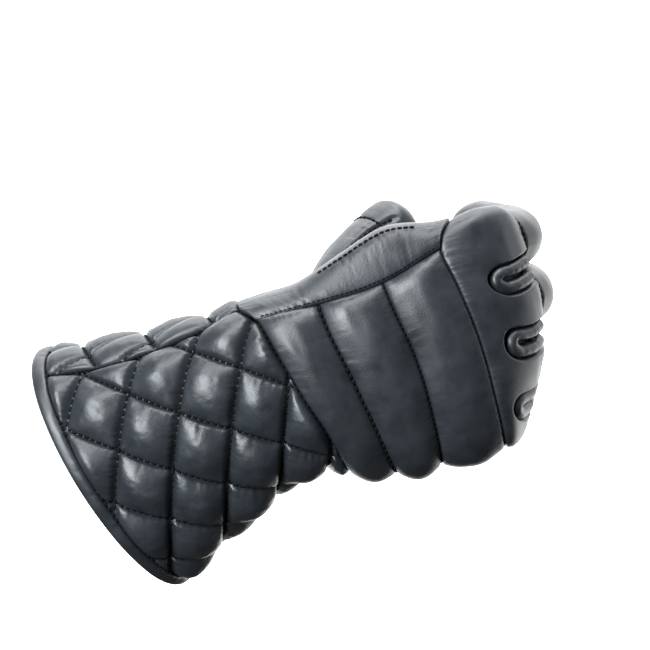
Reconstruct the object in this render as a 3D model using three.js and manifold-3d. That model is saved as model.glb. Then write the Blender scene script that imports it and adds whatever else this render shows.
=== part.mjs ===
// Padded fencing glove for the right hand, closed in a fist.
// Millimetres, +Z up. The origin is the middle of the wrist opening inside the glove.
// The back of the hand faces -Y, the fingers curl in level planes round an upright axis.

import * as THREE from 'three';
import { mergeVertices } from 'three/addons/utils/BufferGeometryUtils.js';
import Module from 'manifold-3d';

const wasm = await Module();
wasm.setup();

// Driving sizes: lengths along the arm
const CUFF_LENGTH = 103; // mouth to wrist
const HAND_LENGTH = 100; // wrist to knuckle seam

// Driving sizes: widths of the sewn surface, thumb side to little-finger side
const MOUTH_WIDTH = 136;
const MID_CUFF_WIDTH = 107;
const WRIST_WIDTH = 89;
const MID_HAND_WIDTH = 103;

// Driving sizes: fingers and thumb
const FINGER_WIDTH = 27.6;
const FINGER_SPACING = 1.6;
const FINGER_BACK = 14.5; // finger axis to the sewn back
const FINGER_PALM = 12; // finger axis to the palm side
const FINGER_LENGTH = 97; // middle finger, knuckle to tip
const THUMB_WIDTH = 29;

// Driving sizes: walls, padding and clearances
const LEATHER = 1.6;
const PAD_WALL = 2.6; // sewn surface to the inside of a padded piece
const SEAM_LIFT = 0.6; // height of a padded piece at its seams
const QUILT_PUFF = 4.4;
const CHANNEL_PUFF = 4.6;
const FINGER_PUFF = 3.4;
const BINDING_WIDTH = 7.5;
const BINDING_PUFF = 2.4;
const SLOT_WIDTH = 14; // rolls and slit between two fingers
const SLIT_WIDTH = 1.6;
const GAP = 0.3;
const WRIST_CLEARANCE = 0.5; // quilted panels to the curved wrist seam
const BASE_CLEARANCE = 1.2; // finger tubes to the inside of the knuckle panel
const CUT_REACH = 9; // how far cutters run past what they cut

const FINGER_PITCH = FINGER_WIDTH + FINGER_SPACING;
const KNUCKLE_WIDTH = 3.84 * FINGER_PITCH;

// Sections of the sewn surface. x, y, z are shares of reach, back and palm are shares of width.
// Lean tips a section towards the cuff and turn swings its back, both in degrees.
const SECTIONS = [
  { at: 0.0, reach: CUFF_LENGTH, x: -0.84, y: 0.27, z: -0.471,
    width: MOUTH_WIDTH, back: 0.331, palm: 0.331, lean: 32, turn: 12, square: 2.0 },
  { at: 0.5, reach: CUFF_LENGTH, x: -0.425, y: 0.12, z: -0.234,
    width: MID_CUFF_WIDTH, back: 0.336, palm: 0.336, lean: 29, turn: 12, square: 2.1 },
  { at: 1.0, reach: CUFF_LENGTH, x: 0, y: 0, z: 0,
    width: WRIST_WIDTH, back: 0.326, palm: 0.326, lean: 25, turn: 9, square: 2.2 },
  { at: 1.5, reach: HAND_LENGTH, x: 0.453, y: -0.03, z: 0.089,
    width: MID_HAND_WIDTH, back: 0.223, palm: 0.243, lean: 19.4, turn: 4, square: 2.3 },
  { at: 2.0, reach: HAND_LENGTH, x: 0.935, y: -0.01, z: 0.254,
    width: KNUCKLE_WIDTH, back: 0.161, palm: 0.125, lean: 18, turn: 0, square: 2.4 },
];

// Seams across the hand: angle round the section in degrees, station along the arm.
// Angle 0 is the thumb side, 90 the back, 180 the little-finger side, 270 the palm.
const WRIST_SEAM = [
  [-194, 1.2], [-160, 1.18], [-100, 1.04], [-60, 0.99], [10, 1.0], [33, 1.08], [61, 1.12],
  [88, 1.157], [116, 1.2], [166, 1.2], [200, 1.18], [260, 1.04],
];
const CHANNEL_SEAM_1 = [[30, 1.378], [60, 1.39], [85, 1.418], [110, 1.44], [150, 1.447], [210, 1.43]];
const CHANNEL_SEAM_2 = [[30, 1.685], [60, 1.702], [90, 1.73], [120, 1.715], [170, 1.675], [210, 1.66]];
const KNUCKLE_SEAM = [
  [-110, 2.0], [-45, 2.04], [0, 2.06], [34, 1.985], [65, 2.01], [90, 2.028],
  [120, 2.015], [170, 1.992], [300, 2.0],
];

// Seams along the arm: station, angle
const CUFF_SEAM = [[-0.1, 22], [0.24, 28.5], [0.53, 28.4], [0.81, 23.3], [1.0, 13], [1.1, 8]];
const BAND_SEAM = [[0.95, 30], [1.08, 33], [1.38, 36.5], [1.69, 40], [1.985, 34], [2.1, 32]];
const PALM_SEAM = 203; // little-finger side, back to palm
const THUMB_SEAM = 292; // palm to side band

// Web of the thumb: station, rise of the thumb side over its section as a share of HAND_LENGTH
const WEB = [
  [1.28, 0], [1.54, 0.06], [1.7, 0.096], [1.78, 0.1],
  [1.86, 0.076], [1.94, 0.04], [2.02, 0.01], [2.1, 0],
];
const WEB_TOP = 8; // half angle of the web's flat top
const WEB_FOOT = 38; // half angle where its rise has died away

// Quilting of the cuff: two families of straight stitch lines on the flattened cuff.
// Slope is the run along the arm for one round it, start and step place the lines along the arm.
const QUILT_LINES = [
  { slope: 0.56, start: 0.357 * CUFF_LENGTH, step: 0.262 * CUFF_LENGTH },
  { slope: -1.28, start: -0.042 * CUFF_LENGTH, step: 0.505 * CUFF_LENGTH },
];
const QUILT_STEPS = 4; // mesh steps along each side of a quilt cell
const QUILT_EDGE = 6; // stretch along the border seams where the quilting is pressed flat
const QUILT_PROBE = 0.02; // spacing of the probes that find a panel's cells, as a share of the panel

// Fingers: up is the place along the knuckle row in pitches, out and back place the knuckle
// from the axis of the fist and rise lifts the tip, all as shares of FINGER_LENGTH. bones are shares
// of FINGER_LENGTH too, bends their headings in degrees from +X towards +Y.
const FINGERS = [
  { name: 'index', up: 1.48, out: 0.03, back: 0.37, rise: -0.02,
    bones: [0.454, 0.258, 0.206], bends: [57, 106, 158] },
  { name: 'middle', up: 0.51, out: 0.134, back: 0.39, rise: -0.02,
    bones: [0.46, 0.289, 0.247], bends: [63, 118, 172] },
  { name: 'ring', up: -0.51, out: 0.206, back: 0.37, rise: -0.005,
    bones: [0.412, 0.268, 0.227], bends: [77, 123, 178] },
  { name: 'little', up: -1.51, out: 0.195, back: 0.32, rise: 0.01,
    bones: [0.309, 0.206, 0.206], bends: [92, 120, 165] },
];
const ROOT_LENGTH = 0.206 * FINGER_LENGTH; // stretch of finger axis inside the hand
const ROOT_BEND = 45;
const BONE_GAP = GAP / (0.25 * FINGER_LENGTH); // GAP as a share of a short finger bone
const JOINT_SEAM = 1.65; // finger stations: 1 knuckle, 2 middle joint, 3 end joint, 4 tip
const TIP_SEAM = 2.62;
const FLANK_START = 0.86; // width share of the outer flanks where the fingers leave the hand

// The knuckle panel across the fist, from over the index to under the little finger. Across is
// the share of its width, finger and angle a place on a finger, hand the angle of the hand
// section that it comes from.
const INDEX_SHARE = 0.21;
const LITTLE_SHARE = 0.13;
const pitchShare = (pitches) => INDEX_SHARE + (pitches / 3) * (1 - INDEX_SHARE - LITTLE_SHARE);
const PANEL_ROW = [
  { across: 0, finger: 0, angle: 112, hand: -14 },
  { across: 0.5 * INDEX_SHARE, finger: 0, angle: 58, hand: 20 },
  { across: pitchShare(0), finger: 0, angle: 0, hand: 45 },
  { across: pitchShare(1), finger: 1, angle: 0, hand: 76 },
  { across: pitchShare(2), finger: 2, angle: 0, hand: 103 },
  { across: pitchShare(3), finger: 3, angle: 0, hand: 137 },
  { across: 1 - 0.5 * LITTLE_SHARE, finger: 3, angle: -38, hand: 161 },
  { across: 1, finger: 3, angle: -72, hand: 184 },
];

// Slots between the fingers: start is the share of the panel's length before a slot, from and to
// the places of its two ends in pitches below the index
const SLOTS = [
  { start: 0.26, from: 0.56, to: 0.38 },
  { start: 0.21, from: 1.62, to: 1.5 },
  { start: 0.16, from: 2.74, to: 2.5 },
];
const SLOT_END = 1.06; // through the end of the knuckle panel
const SLOT_ROUND = 0.3; // share of a slot's length that its round end takes
const SLIT_START = 0.16; // where the slit in its roll starts, after the slot's own start

// Thumb axis, as shares of HAND_LENGTH, from the wrist
const THUMB_AXIS = [
  { x: 0.21, y: 0.2, z: 0.285 },
  { x: 0.325, y: 0.34, z: 0.48 },
  { x: 0.475, y: 0.51, z: 0.63 },
  { x: 0.64, y: 0.64, z: 0.73 },
];
const THUMB_SEAM_STATION = 2.0;

// Small mathematics

const vec = (x, y, z) => new THREE.Vector3(x, y, z);
const { degToRad, lerp, smoothstep } = THREE.MathUtils;

// Smooth value through the rows of a table of [place, value]
function track(table, place) {
  let i = 0;
  while (i < table.length - 2 && place > table[i + 1][0]) i += 1;
  const slopeAt = (k) => {
    const a = table[Math.max(k - 1, 0)];
    const b = table[Math.min(k + 1, table.length - 1)];
    return (b[1] - a[1]) / (b[0] - a[0]);
  };
  const [x0, y0] = table[i];
  const [x1, y1] = table[i + 1];
  const h = x1 - x0;
  const t = (place - x0) / h;
  const rise = slopeAt(i) * h * t * (1 - t) * (1 - t) - slopeAt(i + 1) * h * t * t * (1 - t);
  return y0 * (1 + 2 * t) * (1 - t) * (1 - t) + y1 * t * t * (3 - 2 * t) + rise;
}

// Uniform Catmull-Rom through numbers or vectors given one to a whole station
function blend(values, station, mix) {
  const last = values.length - 1;
  const i = Math.min(Math.max(Math.floor(station), 0), last - 1);
  const t = station - i;
  const before = -0.5 * t + t * t - 0.5 * t * t * t;
  const after = -0.5 * t * t + 0.5 * t * t * t;
  let start = 1 - 2.5 * t * t + 1.5 * t * t * t;
  let end = 0.5 * t + 2 * t * t - 1.5 * t * t * t;
  const terms = [];
  if (i > 0) terms.push([values[i - 1], before]);
  else [start, end] = [start + 2 * before, end - before];
  if (i < last - 1) terms.push([values[i + 2], after]);
  else [start, end] = [start - after, end + 2 * after];
  terms.push([values[i], start], [values[i + 1], end]);
  return mix(terms);
}
const mixNumbers = (terms) => terms.reduce((sum, [value, weight]) => sum + value * weight, 0);
const mixVectors = (terms) => (
  terms.reduce((sum, [value, weight]) => sum.addScaledVector(value, weight), vec(0, 0, 0))
);

const signedPower = (value, power) => Math.sign(value) * Math.abs(value) ** power;

// The sewn surface of cuff and hand

const sectionValue = (key, station) => blend(SECTIONS.map((row) => row[key]), station * 2, mixNumbers);

const SECTION_CENTRES = SECTIONS.map((row) => vec(row.x, row.y, row.z).multiplyScalar(row.reach));
const sectionCentre = (station) => blend(SECTION_CENTRES, station * 2, mixVectors);

function webRise(angle, station) {
  if (station <= WEB[0][0] || station >= WEB[WEB.length - 1][0]) return 0;
  const cosine = (degrees) => Math.cos(degToRad(degrees));
  return HAND_LENGTH * track(WEB, station) * smoothstep(cosine(angle), cosine(WEB_FOOT), cosine(WEB_TOP));
}

function hand(angle, station, lift = 0) {
  const width = sectionValue('width', station);
  const lean = degToRad(sectionValue('lean', station));
  const turn = degToRad(sectionValue('turn', station));
  const power = 2 / sectionValue('square', station);
  const towardsThumb = vec(-Math.sin(lean), 0, Math.cos(lean));
  const towardsBack = vec(0, -Math.cos(turn), 0)
    .add(vec(Math.cos(lean), 0, Math.sin(lean)).multiplyScalar(-Math.sin(turn)));
  const sine = Math.sin(degToRad(angle));
  const depth = width * sectionValue(sine >= 0 ? 'back' : 'palm', station);
  const across = (width / 2 + lift) * signedPower(Math.cos(degToRad(angle)), power);
  return sectionCentre(station)
    .addScaledVector(towardsThumb, across + webRise(angle, station))
    .addScaledVector(towardsBack, (depth + lift) * signedPower(sine, power));
}

// Distance round a section from the thumb side to an angle
function girth(angle, station) {
  const steps = 24;
  let length = 0;
  let last = hand(0, station);
  for (let i = 1; i <= steps; i += 1) {
    const next = hand((angle * i) / steps, station);
    length += next.distanceTo(last);
    last = next;
  }
  return angle < 0 ? -length : length;
}

// Angle at a distance round a section from the thumb side
function angleAt(distance, station) {
  const step = distance < 0 ? -6 : 6;
  let left = Math.abs(distance);
  let last = hand(0, station);
  for (let angle = 0; ; angle += step) {
    const next = hand(angle + step, station);
    const length = next.distanceTo(last);
    if (length >= left) return angle + (step * left) / length;
    left -= length;
    last = next;
  }
}

// Padding profiles

const roundEdge = (share, edge) => Math.sqrt(Math.max(0, 1 - Math.max(0, 1 - share / edge) ** 2));
const fromEdges = (share, edge) => roundEdge(Math.min(share, 1 - share), edge);

// Height of a quilt cell, from 0 on its stitch lines to 1 in its middle
const dome = (steep, long) => Math.sqrt(Math.abs(Math.sin(Math.PI * steep) * Math.sin(Math.PI * long)));

// Meshes

function sharedVertices(positions, triangles) {
  const loose = new THREE.BufferGeometry();
  const numbers = positions.flatMap((p) => [p.x, p.y, p.z]);
  loose.setAttribute('position', new THREE.Float32BufferAttribute(numbers, 3));
  loose.setIndex(triangles.flat());
  const geometry = mergeVertices(loose, 1e-3);
  const index = geometry.getIndex().array;
  const kept = [];
  for (let i = 0; i < index.length; i += 3) {
    const [a, b, c] = index.slice(i, i + 3);
    if (a !== b && b !== c && c !== a) kept.push(a, b, c);
  }
  geometry.setIndex(kept);
  return geometry;
}

function signedVolume(geometry) {
  const position = geometry.getAttribute('position');
  const index = geometry.getIndex().array;
  const corner = (i) => vec(0, 0, 0).fromBufferAttribute(position, index[i]);
  let volume = 0;
  for (let i = 0; i < index.length; i += 3) volume += corner(i).dot(corner(i + 1).cross(corner(i + 2)));
  return volume / 6;
}

function facingOut(geometry) {
  if (signedVolume(geometry) < 0) geometry.setIndex(Array.from(geometry.getIndex().array).reverse());
  return geometry;
}

// Grid of points joined by triangles along the shorter diagonal of each cell
function grid(points, columns, rows, surface, closed, flip) {
  const start = points.length;
  const across = closed ? columns : columns + 1;
  for (let j = 0; j <= rows; j += 1) {
    for (let i = 0; i < across; i += 1) points.push(surface(i / columns, j / rows));
  }
  const at = (i, j) => start + j * across + (closed ? i % columns : i);
  const triangles = [];
  for (let j = 0; j < rows; j += 1) {
    for (let i = 0; i < columns; i += 1) {
      const [a, b, c, d] = [at(i, j), at(i + 1, j), at(i + 1, j + 1), at(i, j + 1)];
      const firstDiagonal = points[a].distanceTo(points[c]) <= points[b].distanceTo(points[d]);
      const cell = firstDiagonal ? [[a, b, c], [a, c, d]] : [[a, b, d], [b, c, d]];
      for (const [p, q, r] of cell) triangles.push(flip ? [p, r, q] : [p, q, r]);
    }
  }
  return { at, triangles };
}

// Strip between an edge of the outer grid and the same edge of the inner grid, which has
// half as many steps
function strip(outer, inner, steps) {
  const triangles = [];
  for (let k = 0; k < steps; k += 2) {
    const [a, b, c] = [outer(k), outer(k + 1), outer(k + 2)];
    const [d, e] = [inner(k / 2), inner(k / 2 + 1)];
    triangles.push([a, d, b], [b, e, c], [b, d, e]);
  }
  return triangles;
}

const reversed = (triangles) => triangles.map(([a, b, c]) => [a, c, b]);

// Wall between two surfaces of (u, v), open or closed round u
function wall({ outer, inner, columns, rows, closed = false }) {
  const points = [];
  const outside = grid(points, columns, rows, outer, closed, false);
  const inside = grid(points, columns / 2, rows / 2, inner, closed, true);
  const triangles = [...outside.triangles, ...inside.triangles];
  triangles.push(...strip((k) => outside.at(k, 0), (k) => inside.at(k, 0), columns));
  triangles.push(...reversed(strip((k) => outside.at(k, rows), (k) => inside.at(k, rows / 2), columns)));
  if (!closed) {
    triangles.push(...reversed(strip((k) => outside.at(0, k), (k) => inside.at(0, k), rows)));
    triangles.push(...strip((k) => outside.at(columns, k), (k) => inside.at(columns / 2, k), rows));
  }
  return facingOut(sharedVertices(points, triangles));
}

// Solid filled out to one surface closed round u, used to cut with
function plug(surface, columns, rows) {
  const points = [];
  const side = grid(points, columns, rows, surface, true, false);
  const triangles = [...side.triangles];
  for (const [row, flip] of [[0, true], [rows, false]]) {
    const middle = vec(0, 0, 0);
    for (let i = 0; i < columns; i += 1) middle.addScaledVector(points[side.at(i, row)], 1 / columns);
    points.push(middle);
    for (let i = 0; i < columns; i += 1) {
      const fan = [points.length - 1, side.at(i, row), side.at(i + 1, row)];
      triangles.push(...(flip ? reversed([fan]) : [fan]));
    }
  }
  return facingOut(sharedVertices(points, triangles));
}

function toSolid(geometry) {
  return new wasm.Manifold(new wasm.Mesh({
    numProp: 3,
    vertProperties: new Float32Array(geometry.getAttribute('position').array),
    triVerts: new Uint32Array(geometry.getIndex().array),
  }));
}

function fromSolid(solid) {
  const mesh = solid.getMesh();
  const geometry = new THREE.BufferGeometry();
  geometry.setAttribute('position', new THREE.BufferAttribute(new Float32Array(mesh.vertProperties), 3));
  geometry.setIndex(Array.from(mesh.triVerts));
  return geometry;
}

// What is left of a piece after its cuts, without the crumbs that a cut may leave
function cut(geometry, ...cutters) {
  const solid = cutters.reduce((left, cutter) => left.subtract(toSolid(cutter)), toSolid(geometry));
  const bodies = solid.decompose().sort((a, b) => b.volume() - a.volume());
  return fromSolid(bodies[0]);
}

const within = (geometry, region) => fromSolid(toSolid(geometry).intersect(toSolid(region)));

// Point of a surface of (u, v) moved along its outward normal
function lifted(surface, u, v, height) {
  const step = 1e-3;
  const alongU = surface(u + step, v).sub(surface(u - step, v));
  const alongV = surface(u, v + step).sub(surface(u, v - step));
  return surface(u, v).addScaledVector(alongU.cross(alongV).normalize(), height);
}

// Padded piece on a sewn surface whose u runs round and v along, seen from outside
function padded(surface, pad, thickness, columns, rows) {
  return wall({
    outer: (u, v) => lifted(surface, u, v, SEAM_LIFT + pad(u, v)),
    inner: (u, v) => lifted(surface, u, v, -thickness),
    columns,
    rows,
  });
}

// Patch of the hand between two angle seams and two station seams, GAP clear of its neighbours
function patch(fromAngle, toAngle, fromStation, toStation) {
  const place = (u, v) => {
    let station = lerp(fromStation(90), toStation(90), v);
    let angle = 0;
    for (let pass = 0; pass < 4; pass += 1) {
      const margin = (GAP / 2) * (180 / Math.PI) / (sectionValue('width', station) / 3);
      angle = lerp(fromAngle(station) + margin, toAngle(station) - margin, u);
      station = lerp(fromStation(angle) + GAP / 2 / HAND_LENGTH, toStation(angle) - GAP / 2 / HAND_LENGTH, v);
    }
    return [angle, station];
  };
  const surface = (u, v) => hand(...place(u, v));
  return { place, surface };
}

// Pieces of the cuff

const bindingStation = () => BINDING_WIDTH / CUFF_LENGTH;
const wristSeam = (angle) => track(WRIST_SEAM, angle > PALM_SEAM ? angle - 360 : angle);
const cuffSeam = (station) => track(CUFF_SEAM, station);
const bandSeam = (station) => track(BAND_SEAM, station);

// Places of a point of the cuff among the stitch lines of both families
const quiltPlaces = (angle, station) => QUILT_LINES.map(({ slope, start, step }) => (
  (station * CUFF_LENGTH + slope * girth(angle, station) - start) / step
));

// Angle and station of a point given by its places among the stitch lines
function quiltPoint(steep, long) {
  const [first, second] = QUILT_LINES;
  const along = [first.start + steep * first.step, second.start + long * second.step];
  const round = (along[0] - along[1]) / (first.slope - second.slope);
  const station = (along[0] - first.slope * round) / CUFF_LENGTH;
  return [angleAt(round, station), station];
}

// Quilt cells that a patch touches, each named by the places of its first corner
function touchedCells(place) {
  const cells = new Map();
  const [from, to] = [-2 * QUILT_PROBE, 1 + 2.5 * QUILT_PROBE];
  for (let u = from; u < to; u += QUILT_PROBE) {
    for (let v = from; v < to; v += QUILT_PROBE) {
      const cell = quiltPlaces(...place(u, v)).map(Math.floor);
      cells.set(cell.join(), cell);
    }
  }
  return cells;
}

// Wall over whole quilt cells. Its mesh follows the stitch lines, so the creases stay sharp.
function quiltedCells(cells, height) {
  const points = [];
  const numbers = new Map();
  const number = (steep, long, outside) => {
    const key = [steep, long, outside].join();
    if (!numbers.has(key)) {
      const [angle, station] = quiltPoint(steep, long);
      const lift = outside ? SEAM_LIFT + height(angle, station) * dome(steep, long) : -PAD_WALL;
      numbers.set(key, points.length);
      points.push(lifted(hand, angle, station, lift));
    }
    return numbers.get(key);
  };
  const triangles = [];
  for (const [steep, long] of cells.values()) {
    const outside = (i, j) => number(steep + i / QUILT_STEPS, long + j / QUILT_STEPS, true);
    for (let i = 0; i < QUILT_STEPS; i += 1) {
      for (let j = 0; j < QUILT_STEPS; j += 1) {
        const [a, b, c, d] = [outside(i, j), outside(i + 1, j), outside(i + 1, j + 1), outside(i, j + 1)];
        const fromCorner = (2 * i < QUILT_STEPS) === (2 * j < QUILT_STEPS);
        triangles.push(...(fromCorner ? [[a, b, c], [a, c, d]] : [[a, b, d], [b, c, d]]));
      }
    }
    const corners = [[0, 0], [1, 0], [1, 1], [0, 1]];
    const inside = corners.map(([i, j]) => number(steep + i, long + j, false));
    triangles.push([inside[0], inside[2], inside[1]], [inside[0], inside[3], inside[2]]);
    const neighbours = [[0, -1], [1, 0], [0, 1], [-1, 0]];
    neighbours.forEach(([i, j], side) => {
      if (cells.has([steep + i, long + j].join())) return;
      const [from, to] = [corners[side], corners[(side + 1) % 4]];
      const edge = (k) => outside(...[0, 1].map((axis) => from[axis] * (QUILT_STEPS - k) + to[axis] * k));
      for (let k = 0; k < QUILT_STEPS; k += 1) triangles.push([edge(k + 1), edge(k), inside[side]]);
      triangles.push([inside[(side + 1) % 4], edge(QUILT_STEPS), inside[side]]);
    });
  }
  return facingOut(sharedVertices(points, triangles));
}

// Quilted panel of the cuff between two angle seams, from the binding to the wrist seam
function quilted(fromAngle, toAngle) {
  const end = (angle) => wristSeam(angle) - WRIST_CLEARANCE / CUFF_LENGTH;
  const { place, surface } = patch(fromAngle, toAngle, bindingStation, end);
  const height = (angle, station) => {
    const perDegree = (Math.PI / 180) * (sectionValue('width', station) / 2);
    const fromBorders = Math.min(
      (angle - fromAngle(station)) * perDegree,
      (toAngle(station) - angle) * perDegree,
      (station - bindingStation()) * CUFF_LENGTH,
      (end(angle) - station) * CUFF_LENGTH,
    );
    return QUILT_PUFF * roundEdge(Math.max(0, fromBorders), QUILT_EDGE);
  };
  const region = wall({
    outer: (u, v) => lifted(surface, u, v, CUT_REACH),
    inner: (u, v) => lifted(surface, u, v, -CUT_REACH),
    columns: 24,
    rows: 4,
  });
  return within(quiltedCells(touchedCells(place), height), region);
}

const cuffBack = () => quilted(cuffSeam, () => PALM_SEAM);
const cuffFront = () => quilted(() => PALM_SEAM - 360, cuffSeam);

function cuffBinding() {
  const half = BINDING_WIDTH / 2;
  const surface = (u, v) => hand(360 * u, lerp(0, (BINDING_WIDTH - GAP) / CUFF_LENGTH, v));
  const roll = (v) => BINDING_PUFF * fromEdges(v, half / BINDING_WIDTH);
  return wall({
    outer: (u, v) => lifted(surface, u, v, SEAM_LIFT + roll(v)),
    inner: (u, v) => lifted(surface, u, v, -PAD_WALL - roll(v) / 2),
    columns: 32,
    rows: 2,
    closed: true,
  });
}

// Pieces of the hand

function backChannel(fromSeam, toSeam) {
  const { surface } = patch(bandSeam, () => PALM_SEAM, fromSeam, toSeam);
  const pad = (u, v) => CHANNEL_PUFF * fromEdges(v, 0.5) * (0.25 + 0.75 * fromEdges(u, 0.1));
  return padded(surface, pad, PAD_WALL, 24, 6);
}

const knuckleSeam = (angle) => track(KNUCKLE_SEAM, angle);

function sideBand() {
  const { surface } = patch(() => THUMB_SEAM - 360, bandSeam, wristSeam, knuckleSeam);
  return padded(surface, () => 0, LEATHER, 14, 14);
}

function palmPanel() {
  const { surface } = patch(() => PALM_SEAM, () => THUMB_SEAM, wristSeam, knuckleSeam);
  return padded(surface, () => 0, LEATHER, 12, 12);
}

// Hand filled out to a height over its sewn surface, up to GAP past the knuckle seam.
// The last row of its side turns in, so that its end face is true near the wall.
function handPlug(lift) {
  const turned = (angle) => (angle > THUMB_SEAM ? angle - 360 : angle);
  const end = (angle) => knuckleSeam(turned(angle)) + GAP / HAND_LENGTH;
  const rows = 12;
  const rim = (rows - 1) / rows;
  const side = (u, v) => (v <= rim
    ? hand(360 * u, lerp(0.8, end(360 * u), v / rim), lift)
    : hand(360 * u, end(360 * u), -CUT_REACH));
  return plug(side, 36, rows);
}

// Fingers

const FIST_AXIS = vec(0.8425, 0.35, 0.209).multiplyScalar(HAND_LENGTH);

function fingerAxis({ up, out, back, rise, bones, bends }) {
  const knuckleHeight = SECTION_CENTRES[4].z + up * FINGER_PITCH;
  const points = [vec(FIST_AXIS.x + out * FINGER_LENGTH, FIST_AXIS.y - back * FINGER_LENGTH, knuckleHeight)];
  const whole = bones.reduce((sum, bone) => sum + bone, 0);
  bones.forEach((bone, i) => {
    const heading = degToRad(bends[i]);
    const step = vec(Math.cos(heading) * bone, Math.sin(heading) * bone, (rise * bone) / whole);
    points.push(points[i].clone().addScaledVector(step, FINGER_LENGTH));
  });
  const rootHeading = degToRad(bends[0] - ROOT_BEND);
  const root = vec(Math.cos(rootHeading), Math.sin(rootHeading), 0);
  return [points[0].clone().addScaledVector(root, -ROOT_LENGTH), ...points];
}

const FINGER_AXES = FINGERS.map(fingerAxis);

// The outer flanks of the index and little finger start narrower, flush with the hand
function flankShare(k, sine, station) {
  const outerFlank = (k === 0 && sine > 0) || (k === FINGERS.length - 1 && sine < 0);
  return outerFlank ? lerp(FLANK_START, 1, smoothstep(station, 0.8, 1.5)) : 1;
}

// Point of a finger's sewn surface. Angle 0 is its back, 90 its upper side.
function finger(k, angle, station, lift = 0) {
  const axis = FINGER_AXES[k];
  const step = 1e-3;
  const ahead = blend(axis, station + step, mixVectors)
    .sub(blend(axis, station - step, mixVectors)).normalize();
  const towardsBack = ahead.clone().cross(vec(0, 0, 1)).normalize();
  const upwards = towardsBack.clone().cross(ahead);
  const cosine = Math.cos(degToRad(angle));
  const sine = Math.sin(degToRad(angle));
  const depth = cosine >= 0 ? FINGER_BACK : FINGER_PALM;
  const halfWidth = (FINGER_WIDTH / 2) * flankShare(k, sine, station);
  return blend(axis, station, mixVectors)
    .addScaledVector(towardsBack, (depth + lift) * cosine)
    .addScaledVector(upwards, (halfWidth + lift) * sine);
}

// The finger backs as one surface, at one station of the fingers
function fingerRow(across, station) {
  const points = PANEL_ROW.map((row) => finger(row.finger, row.angle, station));
  const smooth = (axis) => track(PANEL_ROW.map((row, i) => [row.across, points[i][axis]]), across);
  return vec(smooth('x'), smooth('y'), smooth('z'));
}

// Sewn surface of the knuckle panel: u from the thumb side down, v from the hand to the fingers
function knuckles(u, v) {
  const angle = track(PANEL_ROW.map((row) => [row.across, row.hand]), u);
  const seam = knuckleSeam(angle);
  const curve = new THREE.CatmullRomCurve3([
    hand(angle, seam - 0.15),
    hand(angle, seam + GAP / 2 / HAND_LENGTH),
    fingerRow(u, 1.3),
    fingerRow(u, JOINT_SEAM - 2 * BONE_GAP),
    fingerRow(u, JOINT_SEAM + 0.25),
  ], false, 'centripetal');
  return curve.getPoint((1 + 2 * v) / 4);
}

// Slot between fingers k and k + 1: a slab through the knuckle panel with one round end, that may
// start later than the slot
function slotSlab(k, width, above, below, later, end) {
  const halfShare = (width / 2) * (pitchShare(1) - pitchShare(0)) / FINGER_PITCH;
  const place = (u, v) => {
    const { start, from, to } = SLOTS[k];
    const along = lerp(start + later, end, v);
    const middle = pitchShare(lerp(from, to, (along - start) / (1 - start)));
    return [middle + (2 * u - 1) * halfShare * Math.max(0.08, roundEdge(v, SLOT_ROUND)), along];
  };
  return wall({
    outer: (u, v) => lifted(knuckles, ...place(u, v), above),
    inner: (u, v) => lifted(knuckles, ...place(u, v), -below),
    columns: 2,
    rows: 8,
  });
}

function knucklePanel() {
  const pad = (u, v) => FINGER_PUFF * fromEdges(v, 0.35) * (0.3 + 0.7 * fromEdges(u, 0.1));
  const slots = SLOTS.map((_, k) => slotSlab(k, SLOT_WIDTH, CUT_REACH, CUT_REACH, 0, SLOT_END));
  return cut(padded(knuckles, pad, PAD_WALL, 24, 10), ...slots, handPlug(CUT_REACH));
}

// Everything outside the clearance under the knuckle panel
function knuckleSlab() {
  const place = (u, v) => [lerp(-0.03, 1.03, u), lerp(-0.2, 1.08, v)];
  return wall({
    outer: (u, v) => lifted(knuckles, ...place(u, v), CUT_REACH),
    inner: (u, v) => lifted(knuckles, ...place(u, v), -PAD_WALL - BASE_CLEARANCE),
    columns: 24,
    rows: 10,
  });
}

function fourchette(k) {
  const roll = slotSlab(k, SLOT_WIDTH - 5 * GAP, FINGER_PUFF, PAD_WALL, GAP / FINGER_WIDTH, 1);
  return cut(roll, slotSlab(k, SLIT_WIDTH, CUT_REACH, CUT_REACH, SLIT_START, SLOT_END));
}

const tubeAngle = (u) => 360 * u;

// Walls and palm side of finger k, from the end of the hand to the joint seam.
// The knuckle panel closes its back.
function fingerBase(k) {
  const station = (v) => lerp(0.5, JOINT_SEAM - BONE_GAP, v);
  const tube = wall({
    outer: (u, v) => finger(k, tubeAngle(u), station(v)),
    inner: (u, v) => finger(k, tubeAngle(u), station(v), -LEATHER),
    columns: 12,
    rows: 4,
    closed: true,
  });
  return cut(tube, handPlug(CUT_REACH), knuckleSlab());
}

// Padding on the back of a finger, none on its palm side
const backPad = (angle, v, edge) => (
  FINGER_PUFF * fromEdges(v, edge) * Math.max(0, Math.cos(degToRad(angle))) ** 1.3
);

function fingerMiddle(k) {
  const station = (v) => lerp(JOINT_SEAM + BONE_GAP / 2, TIP_SEAM - BONE_GAP / 2, v);
  return wall({
    outer: (u, v) => finger(k, tubeAngle(u), station(v), backPad(tubeAngle(u), v, 0.5)),
    inner: (u, v) => finger(k, tubeAngle(u), station(v), -PAD_WALL - LEATHER / 2),
    columns: 14,
    rows: 6,
    closed: true,
  });
}

// Closing of a finger end: full size up to the round, then in to a point
const capSize = (v) => (v < 0.45 ? 1 : Math.sqrt(Math.max(0, 1 - ((v - 0.45) / 0.55) ** 2)));

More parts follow.
